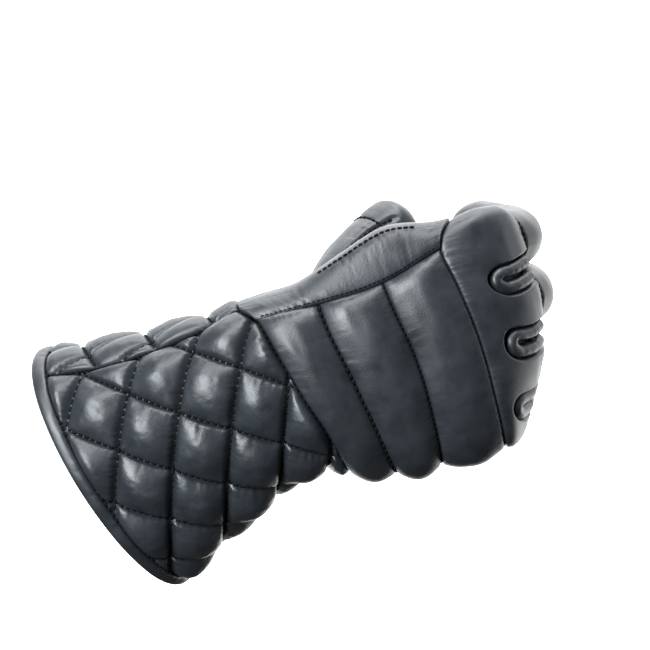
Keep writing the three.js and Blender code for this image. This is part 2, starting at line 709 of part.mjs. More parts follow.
function closedEnd(axisPoint, surface, columns, rows, pad, thickness) {
  const towardsAxis = (point, v) => axisPoint(v).lerp(point, capSize(v));
  const innerShare = (v) => v * (1 - thickness / 30);
  return wall({
    outer: (u, v) => towardsAxis(surface(u, v, pad(u, v)), v),
    inner: (u, v) => towardsAxis(surface(u, innerShare(v), -thickness), v),
    columns,
    rows,
    closed: true,
  });
}

function fingerTip(k) {
  const station = (v) => lerp(TIP_SEAM + BONE_GAP / 2, 4, v);
  return closedEnd(
    (v) => blend(FINGER_AXES[k], station(v), mixVectors),
    (u, v, lift) => finger(k, tubeAngle(u), station(v), lift),
    14,
    6,
    (u, v) => 0.8 * backPad(tubeAngle(u), v, 0.4),
    PAD_WALL,
  );
}

// Thumb

const THUMB_POINTS = THUMB_AXIS.map(({ x, y, z }) => vec(x, y, z).multiplyScalar(HAND_LENGTH));

function thumb(angle, station, lift = 0) {
  const step = 1e-3;
  const ahead = blend(THUMB_POINTS, station + step, mixVectors)
    .sub(blend(THUMB_POINTS, station - step, mixVectors)).normalize();
  const across = ahead.clone().cross(vec(-0.5, 0.2, 0.8)).normalize();
  const outwards = across.clone().cross(ahead);
  return blend(THUMB_POINTS, station, mixVectors)
    .addScaledVector(outwards, (THUMB_WIDTH / 2 + lift) * Math.cos(degToRad(angle)))
    .addScaledVector(across, (THUMB_WIDTH / 2 + lift) * Math.sin(degToRad(angle)));
}

const thumbPlug = () => plug((u, v) => thumb(360 * u, lerp(-0.6, 2.2, v), GAP), 24, 8);

function thumbBase() {
  const station = (v) => lerp(-0.3, THUMB_SEAM_STATION - GAP / THUMB_WIDTH, v);
  const tube = wall({
    outer: (u, v) => thumb(360 * u, station(v)),
    inner: (u, v) => thumb(360 * u, station(v), -PAD_WALL),
    columns: 16,
    rows: 6,
    closed: true,
  });
  return cut(tube, handPlug(SEAM_LIFT + GAP));
}

function thumbTip() {
  const station = (v) => lerp(THUMB_SEAM_STATION + GAP / THUMB_WIDTH, 3, v);
  return closedEnd(
    (v) => blend(THUMB_POINTS, station(v), mixVectors),
    (u, v, lift) => thumb(360 * u, station(v), lift),
    16,
    6,
    () => 0,
    PAD_WALL,
  );
}

// Assembly

const PADDED_LEATHER = { color: 0x26282b, roughness: 0.42, metalness: 0 };
const PLAIN_LEATHER = { color: 0x1e2022, roughness: 0.5, metalness: 0 };

const group = new THREE.Group();
group.name = 'padded_glove';

function add(name, geometry, finish) {
  const mesh = new THREE.Mesh(geometry, new THREE.MeshStandardMaterial(finish));
  mesh.name = name;
  geometry.computeVertexNormals();
  group.add(mesh);
}

add('cuff_back', cuffBack(), PADDED_LEATHER);
add('cuff_front', cuffFront(), PADDED_LEATHER);
add('cuff_binding', cuffBinding(), PADDED_LEATHER);

const CROSS_SEAMS = [
  wristSeam,
  (angle) => track(CHANNEL_SEAM_1, angle),
  (angle) => track(CHANNEL_SEAM_2, angle),
  knuckleSeam,
];
for (const k of [1, 2, 3]) {
  add(`back_channel_${k}`, backChannel(CROSS_SEAMS[k - 1], CROSS_SEAMS[k]), PADDED_LEATHER);
}

add('side_band', cut(sideBand(), thumbPlug()), PLAIN_LEATHER);
add('palm_panel', cut(palmPanel(), thumbPlug()), PLAIN_LEATHER);
add('knuckle_panel', knucklePanel(), PADDED_LEATHER);
for (const k of [0, 1, 2]) add(`fourchette_${k + 1}`, fourchette(k), PLAIN_LEATHER);

FINGERS.forEach(({ name }, k) => {
  add(`${name}_base`, fingerBase(k), PLAIN_LEATHER);
  add(`${name}_middle`, fingerMiddle(k), PADDED_LEATHER);
  add(`${name}_tip`, fingerTip(k), PADDED_LEATHER);
});

add('thumb_base', thumbBase(), PADDED_LEATHER);
add('thumb_tip', thumbTip(), PADDED_LEATHER);

export default group;
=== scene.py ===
"""Padded fencing glove, with every piece as a fine mesh in the place of its solid.

Sizes are millimetres in the shape functions and metres in the scene.
"""

import math

import bmesh
import bpy
import numpy as np
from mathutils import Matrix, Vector


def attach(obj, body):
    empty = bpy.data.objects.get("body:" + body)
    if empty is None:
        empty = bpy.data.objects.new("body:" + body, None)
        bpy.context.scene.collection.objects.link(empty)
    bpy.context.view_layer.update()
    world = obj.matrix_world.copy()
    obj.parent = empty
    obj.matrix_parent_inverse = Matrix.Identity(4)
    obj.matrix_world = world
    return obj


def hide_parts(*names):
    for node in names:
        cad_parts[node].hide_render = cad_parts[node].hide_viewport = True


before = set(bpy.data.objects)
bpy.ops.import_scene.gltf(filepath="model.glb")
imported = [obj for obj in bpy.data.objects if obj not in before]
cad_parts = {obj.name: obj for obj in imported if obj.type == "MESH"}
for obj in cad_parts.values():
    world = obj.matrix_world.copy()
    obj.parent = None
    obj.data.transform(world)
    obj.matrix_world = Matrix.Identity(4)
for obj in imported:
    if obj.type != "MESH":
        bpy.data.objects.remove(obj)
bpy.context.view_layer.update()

MM = 0.001

# Driving sizes, as in the part
CUFF_LENGTH = 103.0
HAND_LENGTH = 100.0
MOUTH_WIDTH = 136.0
MID_CUFF_WIDTH = 107.0
WRIST_WIDTH = 89.0
MID_HAND_WIDTH = 103.0
FINGER_WIDTH = 27.6
FINGER_SPACING = 1.6
FINGER_BACK = 14.5
FINGER_PALM = 12.0
FINGER_LENGTH = 97.0
THUMB_WIDTH = 29.0
FINGER_PITCH = FINGER_WIDTH + FINGER_SPACING
KNUCKLE_WIDTH = 3.84 * FINGER_PITCH

LEATHER = 1.6
PAD_WALL = 2.6
BINDING_WIDTH = 7.5
GAP = 0.12  # between neighbouring pieces, where they are sewn
SEAM_PASSES = 5
MESH_RATIO = 4  # steps of an outer face to one of the inner face

# Padding heights over the sewn surface
QUILT_PUFF = 6.0
CHANNEL_PUFF = 5.9
FINGER_PUFF = 3.8
BAND_PUFF = 2.6
STITCH_PITCH = 3.3

# Sections of the sewn surface: station, direction of the centre and its reach, width, back and
# palm depths as shares of the width, lean, turn, squareness
SECTIONS = np.array([
    [0.0, -0.84, 0.27, -0.471, CUFF_LENGTH, MOUTH_WIDTH, 0.331, 0.331, 32.0, 12.0, 2.0],
    [0.5, -0.425, 0.12, -0.234, CUFF_LENGTH, MID_CUFF_WIDTH, 0.336, 0.336, 29.0, 12.0, 2.1],
    [1.0, 0.0, 0.0, 0.0, CUFF_LENGTH, WRIST_WIDTH, 0.326, 0.326, 25.0, 9.0, 2.2],
    [1.5, 0.453, -0.03, 0.089, HAND_LENGTH, MID_HAND_WIDTH, 0.223, 0.243, 19.4, 4.0, 2.3],
    [2.0, 0.935, -0.01, 0.254, HAND_LENGTH, KNUCKLE_WIDTH, 0.161, 0.125, 18.0, 0.0, 2.4],
])
SECTION_CENTRES = SECTIONS[:, 1:4] * SECTIONS[:, 4:5]
SECTION_SHAPES = SECTIONS[:, 5:]
SECTIONS_TO_STATION = 2
WIDTH_TO_RADIUS = 3

# Seams: angle round the section against station, or station against angle
WRIST_SEAM = [
    (-194, 1.2), (-160, 1.18), (-100, 1.04), (-60, 0.99), (10, 1.0), (33, 1.08), (61, 1.12),
    (88, 1.157), (116, 1.2), (166, 1.2), (200, 1.18), (260, 1.04),
]
CHANNEL_SEAM_1 = [(30, 1.378), (60, 1.39), (85, 1.418), (110, 1.44), (150, 1.447), (210, 1.43)]
CHANNEL_SEAM_2 = [(30, 1.685), (60, 1.702), (90, 1.73), (120, 1.715), (170, 1.675), (210, 1.66)]
KNUCKLE_SEAM = [
    (-110, 2.0), (-45, 2.04), (0, 2.06), (34, 1.985), (65, 2.01), (90, 2.028),
    (120, 2.015), (170, 1.992), (300, 2.0),
]
CUFF_SEAM = [(-0.1, 22), (0.24, 28.5), (0.53, 28.4), (0.81, 23.3), (1.0, 13), (1.1, 8)]
BAND_SEAM = [(0.95, 30), (1.08, 33), (1.38, 36.5), (1.69, 40), (1.985, 34), (2.1, 32)]
PALM_SEAM = 203.0
THUMB_SEAM = 292.0

# Web of the thumb: station, rise of the thumb side as a share of the hand's length, and the half
# angles of its flat top and of its foot
WEB = [
    (1.1, 0), (1.28, 0), (1.54, 0.06), (1.7, 0.094), (1.78, 0.095),
    (1.86, 0.07), (1.94, 0.036), (2.02, 0.01), (2.1, 0),
]
WEB_TOP = 8.0
WEB_FOOT = 38.0

# Quilting: slope of each family of stitch lines on the flattened cuff, first line, step
BACK_QUILT = [
    (0.56, 0.357 * CUFF_LENGTH, 0.262 * CUFF_LENGTH),
    (-1.28, -0.042 * CUFF_LENGTH, 0.505 * CUFF_LENGTH),
]
FRONT_QUILT = [
    (-0.4, 0.233 * CUFF_LENGTH, 0.3 * CUFF_LENGTH),
    (1.6, 0.427 * CUFF_LENGTH, 0.3 * CUFF_LENGTH),
]

# Fingers: place in the knuckle row, knuckle out and back from the fist axis, rise, bones, headings
FINGERS = {
    "index": (1.48, 0.03, 0.37, -0.02, (0.454, 0.258, 0.206), (57, 106, 158)),
    "middle": (0.51, 0.134, 0.39, -0.02, (0.46, 0.289, 0.247), (63, 118, 172)),
    "ring": (-0.51, 0.206, 0.37, -0.005, (0.412, 0.268, 0.227), (77, 123, 178)),
    "little": (-1.51, 0.195, 0.32, 0.01, (0.309, 0.206, 0.206), (92, 120, 165)),
}
FIST_AXIS = np.array([0.8425, 0.35, 0.209]) * HAND_LENGTH
ROOT_LENGTH = 0.206 * FINGER_LENGTH
ROOT_BEND = 45.0
JOINT_SEAM = 1.65
TIP_SEAM = 2.62
FLANK_START = 0.86  # width share of the outer flanks where the fingers leave the hand
FLANK_STATIONS = (0.8, 1.5)

# Knuckle panel: shares of its width beyond the middles of the index and the little finger, stations
# before and after it that steer its slope, and the finger station half-way along it
INDEX_SHARE = 0.21
LITTLE_SHARE = 0.13
PANEL_BEFORE = 0.15
PANEL_AFTER = 0.25
PANEL_MIDDLE = 1.3
SEAM_MARGIN = 0.004


def pitch_share(pitches):
    return INDEX_SHARE + pitches / 3 * (1 - INDEX_SHARE - LITTLE_SHARE)


# Panel across the fist: share of its width, finger and angle round it, angle on the hand
PANEL_ROW = [
    (0, 0, 112, -14), (0.5 * INDEX_SHARE, 0, 58, 20), (pitch_share(0), 0, 0, 45), (pitch_share(1), 1, 0, 76),
    (pitch_share(2), 2, 0, 103), (pitch_share(3), 3, 0, 137), (1 - 0.5 * LITTLE_SHARE, 3, -38, 161),
    (1, 3, -72, 184),
]

# Slots between the fingers: start along the panel, places of both ends in pitches below the index
SLOTS = [(0.26, 0.56, 0.38), (0.21, 1.62, 1.5), (0.16, 2.74, 2.5)]

THUMB_POINTS = HAND_LENGTH * np.array([
    [0.21, 0.2, 0.285], [0.325, 0.34, 0.48], [0.475, 0.51, 0.63], [0.64, 0.64, 0.73],
])
THUMB_SEAM_STATION = 2.0
THUMB_TURN = [-0.5, 0.2, 0.8]  # sets which side of the thumb faces out


# Small mathematics

def unit(v):
    return v / np.maximum(np.linalg.norm(v, axis=-1, keepdims=True), 1e-9)


def hermite(start, end, leaving, arriving, t):
    """Smooth span from start to end, with its slopes at both."""
    return (start * (1 + 2 * t) * (1 - t) ** 2 + end * t * t * (3 - 2 * t)
            + leaving * t * (1 - t) ** 2 - arriving * t * t * (1 - t))


def slopes_through(x, y):
    """Slope at each row of y over x, taken from one side at the ends."""
    x = x.reshape(-1, *([1] * (y.ndim - 1)))
    slopes = np.empty_like(y)
    slopes[1:-1] = (y[2:] - y[:-2]) / (x[2:] - x[:-2])
    slopes[0] = (y[1] - y[0]) / (x[1] - x[0])
    slopes[-1] = (y[-1] - y[-2]) / (x[-1] - x[-2])
    return slopes


def track(table, place):
    """Smooth value through the rows of a table of (place, value)."""
    x, y = np.array(table, float).T
    place = np.asarray(place, float)
    slopes = slopes_through(x, y)
    i = np.clip(np.searchsorted(x, place) - 1, 0, len(x) - 2)
    h = x[i + 1] - x[i]
    return hermite(y[i], y[i + 1], slopes[i] * h, slopes[i + 1] * h, (place - x[i]) / h)


def blend(values, station):
    """Catmull-Rom through rows given one to a whole station."""
    values = np.asarray(values, float)
    station = np.asarray(station, float)
    last = len(values) - 1
    padded = np.concatenate([[2 * values[0] - values[1]], values, [2 * values[-1] - values[-2]]])
    i = np.clip(np.floor(station).astype(int), 0, last - 1)
    t = (station - i)[..., None]
    before, start, end, after = padded[i], padded[i + 1], padded[i + 2], padded[i + 3]
    return 0.5 * (2 * start + (end - before) * t
                  + (2 * before - 5 * start + 4 * end - after) * t ** 2
                  + (3 * start - before - 3 * end + after) * t ** 3)


def turned(degrees):
    """Cosine and sine of an angle in degrees."""
    return np.cos(np.radians(degrees)), np.sin(np.radians(degrees))


def heading(axis, station):
    """Direction of an axis at a station."""
    return unit(blend(axis, station + 1e-3) - blend(axis, station - 1e-3))


def normals_at(surface, u, v, du, dv):
    """Normals of a surface from steps of du and dv to both sides."""
    return unit(np.cross(surface(u + du, v) - surface(u - du, v), surface(u, v + dv) - surface(u, v - dv)))


def signed_power(value, power):
    return np.sign(value) * np.abs(value) ** power


def mix(a, b, t):
    return a + (b - a) * t


def smoothstep(x, low, high):
    t = np.clip((x - low) / (high - low), 0, 1)
    return t * t * (3 - 2 * t)


# Seeded noise

GATHER_BEND = (9, 6)  # size of the waves in a gather, along the seam and away from it
GATHER_RUNS = (33, 21)  # how far coarse and fine gathers run before they change
GATHER_SPELL = 17  # stretch of seam over which the strength changes
DIMPLE_PLACE = 1.6  # distance of the bulges from the stitches
DIMPLE_WIDTH = 1.3

NOISE = np.random.default_rng(11).uniform(-1, 1, (256, 256))


def noise2(x, y, seed=0):
    """Smooth noise from -1 to 1, one bump to a unit of x and y."""
    x = np.asarray(x, float) + 17.3 * seed
    y = np.asarray(y, float) + 39.7 * seed
    i = np.floor(x).astype(int)
    j = np.floor(y).astype(int)
    s = (x - i) ** 2 * (3 - 2 * (x - i))
    t = (y - j) ** 2 * (3 - 2 * (y - j))
    corner = lambda a, b: NOISE[(i + a) % 256, (j + b) % 256]
    return mix(mix(corner(0, 0), corner(1, 0), s), mix(corner(0, 1), corner(1, 1), s), t)


def cloudy(x, y, seed=0):
    """Two octaves of noise."""
    return noise2(x, y, seed) + 0.5 * noise2(2.1 * x, 2.1 * y, seed + 5)


def puckers(along, distance, reach, seed=0, pitch=2.6):
    """Small gathers square to a seam, that die away from it."""
    bend = 0.35 * noise2(along / GATHER_BEND[0], distance / GATHER_BEND[1], seed + 3)
    coarse = noise2(along / pitch + bend, distance / GATHER_RUNS[0], seed)
    fine = noise2(along / (0.55 * pitch) + bend, distance / GATHER_RUNS[1], seed + 1)
    ridge = coarse + 0.5 * fine
    strength = np.clip(0.55 + 0.6 * noise2(along / GATHER_SPELL, 0 * along, seed + 2), 0.1, 1.2)
    return ridge * strength * np.exp(-(distance / reach) ** 1.2) * smoothstep(distance, 0, 0.9)


def stitch_dimples(along, distance):
    """Bulges of leather between one stitch and the next."""
    return np.cos(2 * np.pi * along / STITCH_PITCH) * np.exp(-((distance - DIMPLE_PLACE) / DIMPLE_WIDTH) ** 2)


# The sewn surfaces

def web_rise(angle, station):
    """Rise of the thumb side where the web of the thumb stretches it."""
    cosine = lambda degrees: turned(degrees)[0]
    inside = (station > WEB[0][0]) & (station < WEB[-1][0])
    rise = track(WEB, np.clip(station, WEB[0][0], WEB[-1][0]))
    crest = smoothstep(cosine(angle), cosine(WEB_FOOT), cosine(WEB_TOP))
    return np.where(inside, HAND_LENGTH * rise * crest, 0)


def hand(angle, station, lift=0.0):
    """Cuff and hand. Angle 0 is the thumb side, 90 the back, 180 the little-finger side."""
    angle, station, lift = np.broadcast_arrays(angle, station, lift)
    place = station * SECTIONS_TO_STATION
    width, back, palm, lean, turn, square = np.moveaxis(blend(SECTION_SHAPES, place), -1, 0)
    lean, turn = np.radians(lean), np.radians(turn)
    towards_thumb = np.stack([-np.sin(lean), 0 * lean, np.cos(lean)], -1)
    towards_back = np.stack([-np.sin(turn) * np.cos(lean), -np.cos(turn), -np.sin(turn) * np.sin(lean)], -1)
    cosine, sine = turned(angle)
    depth = width * np.where(sine >= 0, back, palm)
    power = 2 / square
    across = (width / 2 + lift) * signed_power(cosine, power) + web_rise(angle, station)
    out = (depth + lift) * signed_power(sine, power)
    centre = blend(SECTION_CENTRES, place)
    return centre + towards_thumb * across[..., None] + towards_back * out[..., None]


GIRTH_ANGLES = np.linspace(-220, 240, 921)
GIRTH_STATIONS = np.linspace(-0.15, 1.4, 156)


def girth_table():
    """Distance round the cuff from the thumb side, for every marked angle and station."""
    grid = hand(GIRTH_ANGLES[:, None], GIRTH_STATIONS[None, :])
    steps = np.linalg.norm(np.diff(grid, axis=0), axis=-1)
    length = np.concatenate([np.zeros((1, len(GIRTH_STATIONS))), np.cumsum(steps, axis=0)])
    return length - length[np.argmin(np.abs(GIRTH_ANGLES))]


GIRTHS = girth_table()


def mark_below(value, marks):
    """Number of the even mark below a value, and the share of the way to the next."""
    place = np.clip((value - marks[0]) / (marks[1] - marks[0]), 0, len(marks) - 1.001)
    number = np.floor(place).astype(int)
    return number, place - number


def girth(angle, station):
    """Distance round the cuff from the thumb side to an angle."""
    i, p = mark_below(angle, GIRTH_ANGLES)
    j, q = mark_below(station, GIRTH_STATIONS)
    return mix(mix(GIRTHS[i, j], GIRTHS[i + 1, j], p), mix(GIRTHS[i, j + 1], GIRTHS[i + 1, j + 1], p), q)


def angle_at(distance, station):
    """Angle at a distance round the cuff, at one station."""
    nearest = round((station - GIRTH_STATIONS[0]) / (GIRTH_STATIONS[1] - GIRTH_STATIONS[0]))
    j = int(np.clip(nearest, 0, len(GIRTH_STATIONS) - 1))
    return float(np.interp(distance, GIRTHS[:, j], GIRTH_ANGLES))


def finger_axis(name):
    """Points along a finger: root inside the hand, knuckle, two joints and tip."""
    up, out, back, rise, bones, bends = FINGERS[name]
    height = SECTION_CENTRES[-1][2] + up * FINGER_PITCH
    points = [np.array([FIST_AXIS[0] + out * FINGER_LENGTH, FIST_AXIS[1] - back * FINGER_LENGTH, height])]
    for bone, bend in zip(bones, np.radians(bends)):
        step = np.array([math.cos(bend) * bone, math.sin(bend) * bone, rise * bone / sum(bones)])
        points.append(points[-1] + step * FINGER_LENGTH)
    root = math.radians(bends[0] - ROOT_BEND)
    return np.array([points[0] - ROOT_LENGTH * np.array([math.cos(root), math.sin(root), 0])] + points)


FINGER_NAMES = list(FINGERS)
FINGER_AXES = [finger_axis(name) for name in FINGER_NAMES]


def finger(k, angle, station, lift=0.0):
    """Finger k: angle 0 is its back, 90 its upper side. Stations: 1 knuckle to 4 tip."""
    angle, station, lift = np.broadcast_arrays(angle, station, lift)
    axis = FINGER_AXES[k]
    ahead = heading(axis, station)
    towards_back = unit(np.cross(ahead, [0.0, 0.0, 1.0]))
    upwards = np.cross(towards_back, ahead)
    cosine, sine = turned(angle)
    depth = np.where(cosine >= 0, FINGER_BACK, FINGER_PALM)
    flank = ((k == 0) & (sine > 0)) | ((k == 3) & (sine < 0))
    narrowing = mix(FLANK_START, 1, smoothstep(station, *FLANK_STATIONS))
    half_width = FINGER_WIDTH / 2 * np.where(flank, narrowing, 1)
    return (blend(axis, station) + towards_back * ((depth + lift) * cosine)[..., None]
            + upwards * ((half_width + lift) * sine)[..., None])


def finger_row(across, station):
    """The finger backs as one surface, at one station of the fingers."""
    across, station = np.broadcast_arrays(np.asarray(across, float), np.asarray(station, float))
    rows = np.stack([finger(k, angle, station) for _, k, angle, _ in PANEL_ROW])
    x = np.array([row[0] for row in PANEL_ROW])
    slopes = slopes_through(x, rows)
    i = np.clip(np.searchsorted(x, across) - 1, 0, len(x) - 2)
    pick = lambda values, k: np.take_along_axis(values, (i + k)[None, ..., None], 0)[0]
    h = (x[i + 1] - x[i])[..., None]
    t = (across - x[i])[..., None] / h
    return hermite(pick(rows, 0), pick(rows, 1), pick(slopes, 0) * h, pick(slopes, 1) * h, t)


def knuckles(u, v):
    """Sewn surface of the knuckle panel: u from the thumb side down, v towards the fingers."""
    u, v = np.broadcast_arrays(np.asarray(u, float), np.asarray(v, float))
    angle = track([(row[0], row[3]) for row in PANEL_ROW], u)
    seam = track(KNUCKLE_SEAM, angle)
    p0 = hand(angle, seam - PANEL_BEFORE)
    p1 = hand(angle, seam + GAP / 2 / HAND_LENGTH)
    p2 = finger_row(u, PANEL_MIDDLE)
    p3 = finger_row(u, JOINT_SEAM - SEAM_MARGIN)
    p4 = finger_row(u, JOINT_SEAM + PANEL_AFTER)
    t = 2 * v
    first = through(p0, p1, p2, p3, t)
    second = through(p1, p2, p3, p4, t - 1)
    return np.where((t < 1)[..., None], first, second)


def through(p0, p1, p2, p3, t):
    """Centripetal Catmull-Rom span from p1 to p2."""
    spans = ((p0, p1), (p1, p2), (p2, p3))
    d0, d1, d2 = (np.sqrt(np.maximum(np.linalg.norm(b - a, axis=-1), 1e-6))[..., None] for a, b in spans)
    t = np.asarray(t)[..., None]
    m1 = ((p1 - p0) / d0 - (p2 - p0) / (d0 + d1) + (p2 - p1) / d1) * d1
    m2 = ((p2 - p1) / d1 - (p3 - p1) / (d1 + d2) + (p3 - p2) / d2) * d1
    return hermite(p1, p2, m1, m2, t)


def thumb(angle, station, lift=0.0):
    """Thumb: angle 0 is its outer side. Stations: 0 in the hand to 3 at the tip."""
    angle, station, lift = np.broadcast_arrays(angle, station, lift)
    ahead = heading(THUMB_POINTS, station)
    across = unit(np.cross(ahead, THUMB_TURN))
    outwards = np.cross(across, ahead)
    cosine, sine = turned(angle)
    radius = THUMB_WIDTH / 2 + lift
    return (blend(THUMB_POINTS, station) + outwards * (radius * cosine)[..., None]
            + across * (radius * sine)[..., None])


# Padding profiles

def round_edge(share, edge):
    """Quarter round that rises from 0 to 1 within an edge."""
    return np.sqrt(np.clip(1 - np.clip(1 - share / edge, 0, 1) ** 2, 0, 1))


def from_edges(share, edge):
    """Round edges at both ends."""
    return round_edge(np.minimum(share, 1 - share), edge)


# Meshes

def grid_axes(columns, rows, closed):
    u = np.arange(columns + (0 if closed else 1)) / columns
    v = np.arange(rows + 1) / rows
    return np.meshgrid(u, v)


def grid_normals(points, closed, sign):
    if closed:
        du = np.roll(points, -1, 1) - np.roll(points, 1, 1)
    else:
        du = np.gradient(points, axis=1)
    dv = np.gradient(points, axis=0)
    return sign * unit(np.cross(du, dv))


def quads_of(index, closed):
    """Quads over a grid of vertex numbers."""
    if closed:
        index = np.concatenate([index, index[:, :1]], 1)
    return np.stack([index[:-1, :-1], index[:-1, 1:], index[1:, 1:], index[1:, :-1]], -1).reshape(-1, 4)


def strip_of(outer, inner):
    """Triangles between an edge and the same edge with fewer steps."""
    triangles = []
    half = MESH_RATIO // 2
    for k in range(len(inner) - 1):
        edge = outer[k * MESH_RATIO:(k + 1) * MESH_RATIO + 1]
        for j in range(MESH_RATIO):
            triangles.append((edge[j], inner[k if j < half else k + 1], edge[j + 1]))
        triangles.append((edge[half], inner[k], inner[k + 1]))
    return np.array(triangles)


def link(name, data):
    """Puts an object in the scene."""
    obj = bpy.data.objects.new(name, data)
    bpy.context.scene.collection.objects.link(obj)
    return obj


def new_object(name, vertices, quads, triangles=(), inside_quads=0):
    """Mesh object from millimetre vertices. The last inside_quads quads get material slot 1."""
    mesh = bpy.data.meshes.new(name)
    triangles = np.asarray(triangles, int).reshape(-1, 3)
    loops = np.concatenate([quads.ravel(), triangles.ravel()]).astype(np.int32)
    sizes = np.concatenate([np.full(len(quads), 4), np.full(len(triangles), 3)])
    starts = np.concatenate([[0], np.cumsum(sizes)[:-1]]).astype(np.int32)
    mesh.vertices.add(len(vertices))
    mesh.vertices.foreach_set("co", (np.asarray(vertices) * MM).astype(np.float32).ravel())
    mesh.loops.add(len(loops))
    mesh.loops.foreach_set("vertex_index", loops)
    mesh.polygons.add(len(sizes))
    mesh.polygons.foreach_set("loop_start", starts)
    if inside_quads:
        slots = np.zeros(len(sizes), np.int32)
        slots[len(quads) - inside_quads:len(quads)] = 1
        mesh.polygons.foreach_set("material_index", slots)
    mesh.update(calc_edges=True)
    mesh.validate()
    mesh.shade_smooth()
    return link(name, mesh)


def facing_out(vertices, quads, triangles):
    """The faces of a closed shell, turned over if they face in."""
    a, b, c, d = (vertices[quads[:, k]] for k in range(4))
    volume = np.einsum("ij,ij->", a, np.cross(b, c)) + np.einsum("ij,ij->", a, np.cross(c, d))
    return (quads, triangles) if volume >= 0 else (quads[:, ::-1], triangles[:, ::-1])


def wall(name, outer, inner, closed=False):
    """Closed shell between a fine outer grid and an inner grid with fewer steps."""
    rows, across = outer.shape[:2]
    inner_rows, inner_across = inner.shape[:2]
    outside = np.arange(rows * across).reshape(rows, across)
    inside = rows * across + np.arange(inner_rows * inner_across).reshape(inner_rows, inner_across)
    vertices = np.concatenate([outer.reshape(-1, 3), inner.reshape(-1, 3)])
    quads = np.concatenate([quads_of(outside, closed), quads_of(inside, closed)[:, ::-1]])
    ring = lambda row: np.append(row, row[0]) if closed else row
    strips = [
        strip_of(ring(outside[0]), ring(inside[0])),
        strip_of(ring(outside[-1]), ring(inside[-1]))[:, ::-1],
    ]
    if not closed:
        strips.append(strip_of(outside[:, 0], inside[:, 0])[:, ::-1])
        strips.append(strip_of(outside[:, -1], inside[:, -1]))
    quads, triangles = facing_out(vertices, quads, np.concatenate(strips))
    inside_count = (inner_rows - 1) * (inner_across - (0 if closed else 1))
    return new_object(name, vertices, quads, triangles, inside_count)


def sewn(name, surface, height, thickness, columns, rows):
    """Piece on a sewn surface of (u, v): height over it outside, thickness under it inside."""
    u, v = grid_axes(columns, rows, False)
    base = surface(u, v)
    normals = grid_normals(base, False, 1)
    outer = base + normals * height(u, v)[..., None]
    inner = base[::MESH_RATIO, ::MESH_RATIO] - normals[::MESH_RATIO, ::MESH_RATIO] * thickness
    return wall(name, outer, inner)


def patch_places(from_angle, to_angle, from_station, to_station):
    """Function from (u, v) to (angle, station) between two angle seams and two station seams."""
    half_gap = GAP / 2 / HAND_LENGTH

    def place(u, v):
        station = mix(from_station(90.0), to_station(90.0), v)
        for _ in range(SEAM_PASSES):
            width = np.interp(station, SECTIONS[:, 0], SECTION_SHAPES[:, 0])
            margin = np.degrees(GAP / 2) * WIDTH_TO_RADIUS / width
            angle = mix(from_angle(station) + margin, to_angle(station) - margin, u)
            station = mix(from_station(angle) + half_gap, to_station(angle) - half_gap, v)
        return angle, station
    return place


def on_hand(place):
    """Sewn surface of cuff and hand over the places of a patch."""
    return lambda u, v: hand(*place(u, v))


def wrist_seam(angle):
    angle = np.asarray(angle, float)
    return track(WRIST_SEAM, np.where(angle > PALM_SEAM, angle - 360, angle))


def seam_through(table):
    return lambda place: track(table, place)


def constant(value):
    return lambda place: np.full(np.shape(place), float(value))


knuckle_seam = seam_through(KNUCKLE_SEAM)
cuff_seam = seam_through(CUFF_SEAM)
band_seam = seam_through(BAND_SEAM)


# Materials

GLOVE_COLOUR = (0.0135, 0.017, 0.0208)
COLOUR_SPREAD = 0.25
ROUGHNESS_BELOW = 0.05
ROUGHNESS_ABOVE = 0.07
MOTTLE_SCALE = 90
MOTTLE_RANGE = (0.3, 0.7)  # part of the noise that is spread over the colours and the roughness
PEBBLE_SCALE = 1100
WRINKLE_SCALE = 420
WRINKLE_SHARE = 0.8
GRAIN_DEPTH = 0.0004


def set_inputs(node, values):
    for socket, value in values.items():
        node.inputs[socket].default_value = value


def make_leather(name, base, roughness, grain, shine=0.5):
    """Satin leather: fine pebbled grain, faint mottling and roughness that varies."""
    material = bpy.data.materials.new(name)
    material.use_nodes = True
    tree = material.node_tree
    tree.nodes.clear()

    def add(kind, values):
        node = tree.nodes.new("ShaderNode" + kind)
        set_inputs(node, values)
        return node

    output = add("OutputMaterial", {})
    shader = add("BsdfPrincipled", {"Specular IOR Level": shine})
    place = add("TexCoord", {})
    mottle = add("TexNoise", {"Scale": MOTTLE_SCALE, "Detail": 4})
    colours = add("ValToRGB", {})
    tints = (1 - COLOUR_SPREAD, 1 + COLOUR_SPREAD)
    for element, position, tint in zip(colours.color_ramp.elements, MOTTLE_RANGE, tints):
        element.position = position
        element.color = (*[c * tint for c in base], 1)
    low, high = MOTTLE_RANGE
    smooth, rough = roughness - ROUGHNESS_BELOW, roughness + ROUGHNESS_ABOVE
    gloss = add("MapRange", {"From Min": low, "From Max": high, "To Min": smooth, "To Max": rough})
    pebbles = add("TexVoronoi", {"Scale": PEBBLE_SCALE})
    pebbles.feature = "SMOOTH_F1"
    wrinkles = add("TexNoise", {"Scale": WRINKLE_SCALE, "Detail": 5})
    relief = add("Math", {1: WRINKLE_SHARE})
    relief.operation = "MULTIPLY_ADD"
    fine = add("Bump", {"Strength": grain, "Distance": GRAIN_DEPTH})
    links = [(place, "Object", texture, "Vector") for texture in (mottle, pebbles, wrinkles)]
    links += [
        (mottle, "Fac", colours, "Fac"), (colours, "Color", shader, "Base Color"),
        (mottle, "Fac", gloss, "Value"), (gloss, "Result", shader, "Roughness"),
        (wrinkles, "Fac", relief, 0), (pebbles, "Distance", relief, 2),
        (relief, "Value", fine, "Height"), (fine, "Normal", shader, "Normal"),
        (shader, "BSDF", output, "Surface"),
    ]
    for source, out, target, into in links:
        tree.links.new(source.outputs[out], target.inputs[into])
    return material


